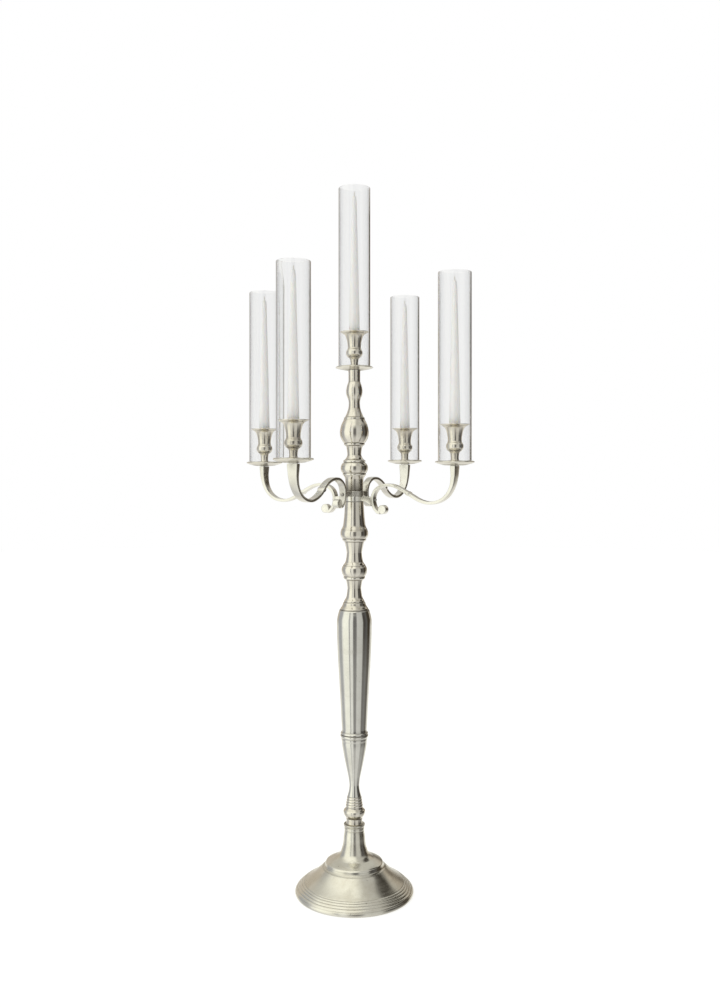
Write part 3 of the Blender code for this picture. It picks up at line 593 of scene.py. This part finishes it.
def cup_pts(hole):
    """Candle cup: bore for the taper, bell, waist, bulb and foot, and the bore from below."""
    return fine_outline([
        (0.0, CUP_SOCKET_Z, 0.0), (CUP_SOCKET_R, CUP_SOCKET_Z, 0.0), (CUP_SOCKET_R, 49.5, 0.0),
        (13.2, 55.0, -0.3), (27.0, 67.6, 2.0),
        (27.9, 68.0, 0.1), (28.4, 67.5, 0.1), (28.2, 66.8, 0.0), (14.9, 52.0, -3.2), (13.1, 38.0, -0.4),
        (14.2, 33.8, -0.2), (16.5, 27.0, 0.7), (14.5, 21.3, 0.6), (10.4, 18.0, 0.4), (10.1, 17.2, 0.0),
        (8.2, 14.0, -0.2), (7.5, 6.5, 0.0), (8.5, 1.0, -0.2), (8.4, 0.0, 0.0), (hole, 0.0, 0.0),
        (hole, CUP_STUD_TOP, 0.0), (0.0, CUP_STUD_TOP, 0.0)], 0.45, 0.8)


def glass_pts(radius, wall, tall):
    """A round-lipped tube, from the lip down the outside and back up the inside."""
    inner = radius - wall
    half = wall / 2.0
    pts = []
    for k in range(9):
        a = math.pi * k / 8.0
        pts.append((radius - half - half * math.cos(a), tall - half + half * math.sin(a)))
    for k in range(1, 6):
        pts.append((radius, (tall - wall) * (1.0 - k / 6.0) + 0.5))
    for k in range(5):
        a = math.pi / 2.0 * k / 4.0
        pts.append((radius - 0.5 + 0.5 * math.cos(a), 0.5 - 0.5 * math.sin(a)))
    for k in range(5):
        a = math.pi / 2.0 * k / 4.0
        pts.append((inner + 0.5 - 0.5 * math.sin(a), 0.5 - 0.5 * math.cos(a)))
    for k in range(1, 6):
        pts.append((inner, (tall - wall) * k / 6.0 + 0.5))
    return pts


def candle_pts():
    return fine_outline([
        (1.1, CANDLE_TALL, 0.0), (2.2, 304.4, 0.0), (3.9, 300.0, 0.25), (4.7, 292.0, 0.1), (11.0, 24.0, 0.15),
        (11.0, 1.0, 0.0), (10.4, 0.0, 0.0), (1.1, 0.0, 0.0)], 1.2, 6.0)


def wick_mesh(seed):
    """Three twisted strands as one closed lobed loft, leaning a little at the tip."""
    bm = bmesh.new()
    low, high, seg = 0.6, 311.7, 18
    rings = []
    heights = [low, 296.0] + [304.0 + 0.55 * k for k in range(15)]
    for z in heights:
        tip = max(0.0, (z - 309.9) / (high - 309.9))
        lean = 0.35 * max(0.0, (z - CANDLE_TALL) / (high - CANDLE_TALL)) ** 2
        ring = []
        for i in range(seg):
            a = 2.0 * math.pi * i / seg
            r = (0.72 + 0.16 * math.cos(3.0 * (a + z * 0.9))) * (1.0 - 0.45 * tip ** 2)
            ring.append(bm.verts.new(((r * math.cos(a) + lean) * MM, r * math.sin(a) * MM, z * MM)))
        rings.append(ring)
    for a, b in zip(rings, rings[1:]):
        for i in range(seg):
            j = (i + 1) % seg
            bm.faces.new((a[i], a[j], b[j], b[i]))
    bm.faces.new(list(reversed(rings[0])))
    bm.faces.new(rings[-1])
    mesh = bpy.data.meshes.new("wick")
    bm.to_mesh(mesh)
    bm.free()
    set_marks(mesh, seed=np.full(len(mesh.vertices), seed))
    mesh.shade_smooth()
    mesh.set_sharp_from_angle(angle=TURNED_EDGE)
    return mesh


def make_light(tag, index):
    low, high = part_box(tag + "_drip_plate")
    x, y = (low.x + high.x) / 2.0, (low.y + high.y) / 2.0
    seed = 1.3 + 0.37 * index
    centre = tag == "centre"
    hole = BORE_R if centre else STUD_HOLE_R
    rim = high.z - PLATE_PAD * MM
    plate = lathe_mesh(tag + "_plate", plate_pts(hole, not centre), True, 128,
                       [(-5.5, 0.8, 0.7), (-4.8, 2.0, 0.32)], seed)
    show("fine_%s_drip_plate" % tag, plate, PLATE, tag + "_drip_plate", (x, y, rim))
    cup = lathe_mesh(tag + "_cup", cup_pts(hole), False, 96,
                     [(0.4, 0.9, 0.8), (19.0, 2.2, 0.55), (64.6, 1.3, 0.35)], seed)
    show("fine_%s_candle_cup" % tag, cup, CUP, tag + "_candle_cup",
         (x, y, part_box(tag + "_candle_cup")[0].z))
    low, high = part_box(tag + "_chimney")
    radius, tall = (high.x - low.x) / 2.0 / MM, (high.z - low.z) / MM
    glass = lathe_mesh(tag + "_glass", glass_pts(radius, GLASS_WALL, tall), True, 128, (), seed)
    show("fine_%s_chimney" % tag, glass, GLASS, tag + "_chimney", (x, y, low.z))
    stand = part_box(tag + "_candle")[0].z
    taper = lathe_mesh(tag + "_taper", candle_pts(), True, 64, (), seed)
    show("fine_%s_candle" % tag, taper, WAX, tag + "_candle", (x, y, stand))
    show("fine_%s_wick" % tag, wick_mesh(seed), WICK, tag + "_wick", (x, y, stand),
         turn=index * 1.1)


# ---- arms, hub rings and screws ----
def catmull(points, per):
    out = []
    n = len(points)
    for i in range(n - 1):
        p0, p1, p2, p3 = points[max(i - 1, 0)], points[i], points[i + 1], points[min(i + 2, n - 1)]
        for k in range(per):
            t = k / float(per)
            out.append(tuple(
                0.5 * ((2.0 * b) + (c - a) * t + (2.0 * a - 5.0 * b + 4.0 * c - d) * t * t
                       + (3.0 * b - a - 3.0 * c + d) * t ** 3)
                for a, b, c, d in zip(p0, p1, p2, p3)))
    out.append(tuple(points[-1]))
    return out


def arm_path(lift, dip_lift, reach, top):
    """Centreline of the strap in its own upright plane: (out from the stem axis, height), mm."""
    scroll = [(60.4, 760.4), (54.6, 762.4), (47.8, 770.4), (44.3, 781.0), (44.9, 794.0), (51.6, 806.0),
              (65.6, 813.8), (82.0, 815.0), (97.0, 811.6)]
    sweep = [(113.5, 803.6), (131.0, 793.4), (149.0, 784.4), (168.0, 780.8), (188.0, 784.4),
             (204.6, 795.5), (214.8, 812.5)]
    path = [(r, z + lift) for r, z in scroll]
    path.append((sweep[0][0], sweep[0][1] + lift * 0.93 + dip_lift * 0.07))
    for r, z in sweep[1:5]:
        path.append((r, z + dip_lift))
    path.append((sweep[5][0], sweep[5][1] + dip_lift * 0.8))
    path.append((sweep[6][0], sweep[6][1] + dip_lift * 0.5))
    path += [(reach - 0.6, 831.0), (reach, 845.0), (reach, top)]
    return path


def ease(value, low, high):
    t = min(max((value - low) / (high - low), 0.0), 1.0)
    return t * t * (3.0 - 2.0 * t)


def strap_size(r, z):
    """Width and thickness of the strap: it grows into the block at the outer end."""
    width, thick = STRAP_W, STRAP_T
    if r > 150.0:
        rise = min(max((z - GROW_FROM) / (GROW_TO - GROW_FROM), 0.0), 1.0) ** 1.6
        width = STRAP_W + 1.0 * ease(r, 150.0, 165.0) + (BLOCK_W - STRAP_W - 1.0) * rise
        thick = STRAP_T + (BLOCK_T - STRAP_T) * rise
    if r > 100.0:
        band = ease(3.4 - abs(r - KNUCKLE_OUT), 0.0, 1.0)
        width += 1.7 * band
        thick += 1.7 * band
    return width, thick


def rounded_section(width, thick, corner, crown=0.0):
    """Section ring of a strap: (across, outward, edge share); corners rounded, faces a little crowned."""
    hw, ht = width / 2.0, thick / 2.0
    ring = []
    for sx, sy, start in ((1, 1, 0.0), (-1, 1, 90.0), (-1, -1, 180.0), (1, -1, 270.0)):
        for k in range(5):
            a = math.radians(start + 90.0 * k / 4.0)
            ring.append((sx * (hw - corner) + corner * math.cos(a), sy * (ht - corner) + corner * math.sin(a),
                         1.0 if 0 < k < 4 else 0.35))
        if start in (0.0, 180.0):
            for share in (0.6, 0.2, -0.2, -0.6):
                u = sx * share * (hw - corner)
                ring.append((u, sy * (ht + crown * (1.0 - (u / hw) ** 2)), 0.0))
    return ring


def loft_mesh(name, stations, section):
    """Closed loft through stations (out, up, width, thick) in the XZ plane."""
    bm = bmesh.new()
    edge = []
    rings = []
    for i, (r, z, w, t) in enumerate(stations):
        before, after = stations[max(i - 1, 0)], stations[min(i + 1, len(stations) - 1)]
        dx, dz = after[0] - before[0], after[1] - before[1]
        size = math.hypot(dx, dz)
        nx, nz = -dz / size, dx / size
        ring = []
        for u, v, share in section(w, t):
            ring.append(bm.verts.new(((r + nx * v) * MM, u * MM, (z + nz * v) * MM)))
            edge.append(share)
        rings.append(ring)
    for a, b in zip(rings, rings[1:]):
        for k in range(len(a)):
            m = (k + 1) % len(a)
            bm.faces.new((a[k], a[m], b[m], b[k]))
    bm.faces.new(rings[0])
    bm.faces.new(list(reversed(rings[-1])))
    bmesh.ops.recalc_face_normals(bm, faces=bm.faces)
    mesh = bpy.data.meshes.new(name)
    bm.to_mesh(mesh)
    bm.free()
    # the strap's rounded corners are marked for wear and a painted edge highlight
    set_marks(mesh, worn=edge)
    return mesh


def combined(name, first, others):
    """One closed mesh from a Boolean chain."""
    base = bpy.data.objects.new(name + "_base", first)
    bpy.context.scene.collection.objects.link(base)
    helpers = [base]
    for i, (mesh, kind) in enumerate(others):
        helper = bpy.data.objects.new("%s_tool%d" % (name, i), mesh)
        bpy.context.scene.collection.objects.link(helper)
        helpers.append(helper)
        mod = base.modifiers.new("cut%d" % i, "BOOLEAN")
        mod.operation = kind
        mod.solver = "EXACT"
        mod.object = helper
    bpy.context.view_layer.update()
    mesh = bpy.data.meshes.new_from_object(base.evaluated_get(bpy.context.evaluated_depsgraph_get()))
    mesh.name = name
    for helper in helpers:
        bpy.data.objects.remove(helper, do_unlink=True)
    mesh.shade_smooth()
    mesh.set_sharp_from_angle(angle=JOINED_EDGE)
    return mesh


def stained_and_shaded(mesh, seed, spots):
    """Adds seed and dark marks to a joined mesh: oxide spots, a darkening of the hub ring, and painted shade
    inside the arms' scrolls; spots are (x, y, z, reach, strength), mm.
    """
    co = np.zeros(len(mesh.vertices) * 3)
    mesh.vertices.foreach_get("co", co)
    co = co.reshape(-1, 3) / MM
    grime = np.zeros(len(co))
    for x, y, z, reach, strength in spots:
        d2 = ((co - np.array((x, y, z))) ** 2).sum(axis=1)
        grime = np.maximum(grime, strength * np.exp(-d2 / reach ** 2))
    for name in ("grime", "seed", "along"):
        if name in mesh.attributes:
            mesh.attributes.remove(mesh.attributes[name])
    set_marks(mesh, grime=grime, seed=np.full(len(co), seed), along=co[:, 0] * MM)
    return mesh


def moved(mesh, matrix):
    mesh.transform(matrix)
    return mesh


def round_bar(radius, z0, z1, seg, corner=0.0):
    """A solid round bar along z, with rounded ends where a corner size is given."""
    if corner:
        pts = fine_outline([
            (0.0, z1, 0.0), (radius - corner, z1, 0.0), (radius, z1 - corner, corner * 0.2),
            (radius, z0 + corner, 0.0), (radius - corner, z0, corner * 0.2), (0.0, z0, 0.0)], 0.4)
    else:
        pts = [(0.0, z1), (radius, z1), (radius, z0), (0.0, z0)]
    return lathe_mesh("bar", pts, False, seg)


def arm_mesh(name, lift, dip_lift, reach, top, screw_z, seed):
    path = catmull(arm_path(lift, dip_lift, reach, top), 10)
    stations = [(r, z) + strap_size(r, z) for r, z in path]

    def section(w, t):
        return rounded_section(w, t, min(0.8, t * 0.2), 0.22)

    strap = loft_mesh(name + "_strap", stations, section)
    half = VOLUTE_W / 2.0
    roll = moved(round_bar(VOLUTE_R, -half, half, 72, 1.1),
                 Matrix.Translation((VOLUTE_OUT * MM, 0.0, (VOLUTE_Z + lift) * MM))
                 @ Matrix.Rotation(math.pi / 2, 4, "X"))
    stud_hole = moved(round_bar(STUD_HOLE_R, top - 16.6, top + 3.0, 32),
                      Matrix.Translation((reach * MM, 0.0, 0.0)))
    turn = Matrix.Rotation(math.pi / 2, 4, "Y")
    screw_hole = moved(round_bar(SCREW_HOLE_R, ARM_HOLE[0], ARM_HOLE[1], 24),
                       Matrix.Translation((0.0, 0.0, screw_z * MM)) @ turn)
    mesh = combined(name, strap, [(roll, "UNION"), (stud_hole, "DIFFERENCE"), (screw_hole, "DIFFERENCE")])
    # of the spots below, the broad one inside the scroll is painted shade; the others are oxide at the screw,
    # the roll and the block
    return stained_and_shaded(mesh, seed, [
        (ARM_INNER_FACE, 0.0, screw_z, 4.5, 0.8), (56.0, 0.0, VOLUTE_Z + lift, 3.5, 0.7),
        (51.0, 0.0, VOLUTE_Z + lift + 18.0, 15.0, 0.42), (reach, 0.0, top, 9.0, 0.45)])


def lug_mesh(bottom, top, radius, drop, far):
    """One lug: flat on top, its underside flaring down to the back of the arm."""
    marks = [(radius - 3.5, bottom + 0.7, top - 0.7, 5.0), (radius + 5.0, bottom + 0.4, top - 0.7, 5.0),
             (radius + 12.5, bottom - drop * 0.22, top - 0.8, 5.4),
             (radius + 18.5, bottom - drop * 0.62, top - 0.9, 6.0), (far, bottom - drop, top - 1.2, 6.5)]
    stations = []
    for x, z0, z1, half in catmull(marks, 5):
        stations.append((x, (z0 + z1) / 2.0, half * 2.0, z1 - z0))

    def section(w, t):
        return rounded_section(w, t, 1.0)

    return loft_mesh("lug", stations, section)


def hub_mesh(name, bottom, top, radius, drop, screw_z, far, seed, dark):
    """A hub ring with its two lugs and their screw holes."""
    ring = fine_outline([
        (SPIGOT_HOLE_R, top, 0.0), (radius - 0.9, top, 0.0), (radius, top - 0.9, 0.2),
        (radius, bottom + 0.9, 0.0), (radius - 0.9, bottom, 0.2), (SPIGOT_HOLE_R, bottom, 0.0)], 0.4)
    body = lathe_mesh(name + "_ring", ring, True, 96)
    tools = []
    turn = Matrix.Rotation(math.pi / 2, 4, "Y")
    for side in (0.0, math.pi):
        swing = Matrix.Rotation(side, 4, "Z")
        tools.append((moved(lug_mesh(bottom, top, radius, drop, far), swing), "UNION"))
    for side in (0.0, math.pi):
        swing = Matrix.Rotation(side, 4, "Z")
        hole = moved(round_bar(SCREW_HOLE_R, LUG_HOLE[0], LUG_HOLE[1], 24),
                     swing @ Matrix.Translation((0.0, 0.0, screw_z * MM)) @ turn)
        tools.append((hole, "DIFFERENCE"))
    mesh = combined(name, body, tools)
    mid = (bottom + top) / 2.0
    spots = [(s * (radius + 1.0), 0.0, mid, 6.0, 0.5) for s in (1, -1)]
    spots += [(s * far, 0.0, mid - drop / 2.0, 5.0, 0.7) for s in (1, -1)]
    # a spot wider than the ring darkens the whole ring by the given dark strength
    spots.append((0.0, 0.0, mid, 34.0, dark))
    return stained_and_shaded(mesh, seed, spots)


def screw_mesh(name, screw_z, seed):
    """Round-headed slotted screw lying along +X, head outermost."""
    head = ARM_INNER_FACE + 0.2
    pts = fine_outline([(0.0, head + 2.4, 0.0), (2.4, head + 1.75, 0.25), (3.4, head + 0.3, 0.2),
                        (3.3, head, 0.0), (SCREW_R, head, 0.0), (SCREW_R, SCREW_TIP, 0.0),
                        (0.0, SCREW_TIP, 0.0)], 0.15, 0.4)
    shank = lathe_mesh(name, pts, False, 36)
    slot = bmesh.new()
    bmesh.ops.create_cube(slot, size=1.0)
    cutter = bpy.data.meshes.new("slot")
    slot.to_mesh(cutter)
    slot.free()
    moved(cutter, Matrix.Translation((0.0, 0.0, (head + 2.4) * MM)) @ Matrix.Rotation(0.6, 4, "Z")
          @ Matrix.Diagonal((0.008, 0.0009, 0.0024, 1.0)))
    mesh = combined(name, shank, [(cutter, "DIFFERENCE")])
    moved(mesh, Matrix.Translation((0.0, 0.0, screw_z * MM)) @ Matrix.Rotation(math.pi / 2, 4, "Y"))
    return stained_and_shaded(mesh, seed, [])


def make_pair(label, tags, lift, dip_lift, drop, screw_z, seed, dark):
    node_name = label + "_hub_ring"
    low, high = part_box(node_name)
    span = max(high.x - low.x, high.y - low.y) / 2.0 / MM
    radius = min(high.x - low.x, high.y - low.y) / 2.0 / MM
    bottom, top = low.z / MM + drop, high.z / MM
    plate_low, plate_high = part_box(tags[0] + "_drip_plate")
    centre = (plate_low + plate_high) / 2.0
    heading = math.atan2(centre.y, centre.x)
    reach = centre.xy.length / MM
    arm_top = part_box(tags[0] + "_arm")[1].z / MM
    hub = hub_mesh("fine_" + node_name, bottom, top, radius, drop, screw_z, span, seed, dark)
    show("fine_" + node_name, hub, ARM, node_name, turn=heading)
    for k, tag in enumerate(tags):
        angle = heading + math.pi * k
        arm = arm_mesh("fine_%s_arm" % tag, lift, dip_lift, reach, arm_top, screw_z, seed + 0.5 * k)
        show("fine_%s_arm" % tag, arm, ARM, tag + "_arm", turn=angle)
        screw = screw_mesh("fine_%s_arm_screw" % tag, screw_z, seed + 0.5 * k)
        show("fine_%s_arm_screw" % tag, screw, SCREW, tag + "_arm_screw", turn=angle)


def dress_hidden():
    """CAD nodes that stay as they are: fastenings, ballast and the pad under the foot."""
    finish = {"base_weight": IRON, "felt_pad": FELT, "base_washer": STEEL, "base_nut": STEEL,
              "tie_rod": STEEL}
    for tag in LIGHTS:
        if tag != "centre":
            finish[tag + "_cup_stud"] = STEEL
    for name, mat in finish.items():
        ob = frame["nodes"][name]
        ob.data.materials.clear()
        ob.data.materials.append(mat)


make_foot()
make_stem()
for index, tag in enumerate(LIGHTS):
    make_light(tag, index)
make_pair("upper", ("front", "back"), UPPER_LIFT, UPPER_DIP, UPPER_DROP, UPPER_SCREW_Z, 4.1, 0.95)
make_pair("lower", ("right", "left"), 0.0, LOWER_DIP, LOWER_DROP, LOWER_SCREW_Z, 5.3, 0.0)
dress_hidden()


# ======== studio ========
FLOOR_R = 9.0
FLOOR_GAP = 0.0004          # the floor lies this far under the felt
FLOOR_GLOW = 0.78


def make_floor():
    bm = bmesh.new()
    bmesh.ops.create_circle(bm, cap_ends=True, radius=FLOOR_R, segments=96)
    mesh = bpy.data.meshes.new("floor")
    bm.to_mesh(mesh)
    bm.free()
    floor = bpy.data.objects.new("floor", mesh)
    bpy.context.scene.collection.objects.link(floor)
    floor.location.z = -FLOOR_GAP
    mat, tree, bsdf = fresh("pale_floor")
    bsdf.inputs["Base Color"].default_value = rgb(0.45, 0.45, 0.45)
    bsdf.inputs["Roughness"].default_value = 1.0
    bsdf.inputs["Specular IOR Level"].default_value = 0.0
    bsdf.inputs["Emission Color"].default_value = rgb(1.0, 1.0, 1.0)
    bsdf.inputs["Emission Strength"].default_value = FLOOR_GLOW
    mesh.materials.append(mat)
    floor.visible_glossy = False


# Panels of the studio round the stem: (degrees round from the camera, towards its right, colour)
PANELS = [
    (-180.0, (0.80, 0.79, 0.75)), (-172.0, (0.58, 0.53, 0.46)), (-136.0, (0.62, 0.56, 0.47)),
    (-125.0, (0.45, 0.46, 0.47)), (-95.0, (0.47, 0.475, 0.485)), (-86.0, (0.98, 0.98, 0.92)),
    (-76.0, (1.18, 1.18, 1.05)), (-39.0, (1.16, 1.16, 1.04)), (-36.0, (0.42, 0.42, 0.42)),
    (-31.0, (0.42, 0.42, 0.42)), (-28.0, (1.00, 1.00, 0.93)), (-11.0, (0.90, 0.90, 0.85)),
    (-6.5, (0.17, 0.165, 0.16)), (13.0, (0.21, 0.205, 0.20)), (18.5, (0.68, 0.675, 0.64)),
    (55.0, (0.60, 0.60, 0.565)), (62.0, (0.075, 0.068, 0.06)), (78.0, (0.08, 0.075, 0.07)),
    (84.0, (0.12, 0.12, 0.12)), (95.0, (0.10, 0.092, 0.08)), (101.0, (0.055, 0.045, 0.032)),
    (125.0, (0.06, 0.048, 0.034)), (132.0, (0.58, 0.52, 0.43)), (150.0, (0.54, 0.48, 0.40)),
    (172.0, (0.46, 0.45, 0.42)), (180.0, (0.80, 0.79, 0.75))]
FLAG_TURN = math.radians(116.0)     # a dark flag up on the right, behind the object
FLAG_UP = math.radians(46.0)
DARK_FLAG = (0.03, 0.025, 0.018)
DARK_CURTAIN = (0.12, 0.10, 0.075)  # a low dark curtain behind, beside the flag
FAR_GROUND = (1.0, 0.985, 0.91)     # the bright ground behind the object


def make_world():
    world = bpy.data.worlds.new("studio")
    bpy.context.scene.world = world
    world.use_nodes = True
    tree = world.node_tree
    tree.nodes.clear()
    ray = node(tree, "ShaderNodeTexCoord").outputs["Generated"]
    facing = vector(tree, "DOT_PRODUCT", ray, tuple(TOWARD)).outputs["Value"]
    side = vector(tree, "DOT_PRODUCT", ray, tuple(ACROSS)).outputs["Value"]
    angle = calc(tree, "ARCTAN2", side, facing)
    share = fit(tree, angle, -math.pi, math.pi, 0.0, 1.0)
    ramp = node(tree, "ShaderNodeValToRGB", {0: share})
    stops = ramp.color_ramp.elements
    stops[0].position, stops[1].position = 0.0, 1.0
    for degrees, _ in PANELS[1:-1]:
        stops.new((degrees + 180.0) / 360.0)
    for stop, (degrees, colour) in zip(sorted(stops, key=lambda e: e.position), PANELS):
        stop.color = rgb(*colour)
    up = node(tree, "ShaderNodeSeparateXYZ", {0: ray}).outputs[2]
    overhead = blend(tree, fit(tree, side, 0.0, 0.30, 0.0, 1.0), rgb(1.16, 1.15, 1.03), rgb(0.56, 0.55, 0.51))
    back = fit(tree, facing, 0.05, -0.45, 0.0, 1.0)
    overhead = blend(tree, back, overhead, rgb(0.60, 0.59, 0.54))
    light = blend(tree, fit(tree, up, 0.34, 0.66, 0.0, 1.0), ramp.outputs["Color"], overhead)
    level = math.cos(FLAG_UP)
    aim = TOWARD * (level * math.cos(FLAG_TURN)) + ACROSS * (level * math.sin(FLAG_TURN))
    flag = (aim.x, aim.y, math.sin(FLAG_UP))
    near = vector(tree, "DOT_PRODUCT", ray, flag).outputs["Value"]
    light = blend(tree, fit(tree, near, 0.95, 0.98, 0.0, 1.0), light, rgb(*DARK_FLAG))
    curtain = calc(tree, "MULTIPLY", fit(tree, angle, math.radians(125.0), math.radians(134.0), 0.0, 0.85),
                   fit(tree, up, 0.05, 0.10, 0.0, 1.0))
    curtain = calc(tree, "MULTIPLY", curtain, fit(tree, up, 0.34, 0.24, 0.0, 1.0))
    light = blend(tree, curtain, light, rgb(*DARK_CURTAIN))
    light = blend(tree, fit(tree, up, -0.18, -0.70, 0.0, 0.70), light, rgb(0.82, 0.81, 0.77))
    far = calc(tree, "MULTIPLY", fit(tree, up, -0.06, -0.20, 0.0, 0.8),
               fit(tree, facing, -0.45, -0.75, 0.0, 1.0))
    light = blend(tree, far, light, rgb(*FAR_GROUND))
    path = node(tree, "ShaderNodeLightPath").outputs
    through = blend(tree, fit(tree, up, 0.5, 0.9, 0.0, 1.0), rgb(0.93, 0.93, 0.925), rgb(0.8, 0.8, 0.8))
    straight = calc(tree, "LESS_THAN", path["Glossy Depth"], 0.5)
    light = blend(tree, calc(tree, "MULTIPLY", path["Is Transmission Ray"], straight), light, through)
    light = blend(tree, path["Is Camera Ray"], light, rgb(1.0, 1.0, 1.0))
    background = node(tree, "ShaderNodeBackground", {0: light, 1: 1.0})
    out = node(tree, "ShaderNodeOutputWorld")
    tree.links.new(background.outputs[0], out.inputs[0])


def make_camera():
    data = bpy.data.cameras.new("camera")
    data.lens = LENS
    data.sensor_width = SENSOR
    data.shift_x = SHIFT_X
    data.shift_y = SHIFT_Y
    data.clip_start = 0.05
    camera = bpy.data.objects.new("camera", data)
    bpy.context.scene.collection.objects.link(camera)
    camera.location = TOWARD * CAMERA_FAR + Vector((0.0, 0.0, CAMERA_UP))
    camera.rotation_euler = (math.pi / 2.0, 0.0, CAMERA_TURN)
    bpy.context.scene.camera = camera


make_floor()
make_world()
make_camera()
bpy.context.scene.view_settings.view_transform = "Standard"
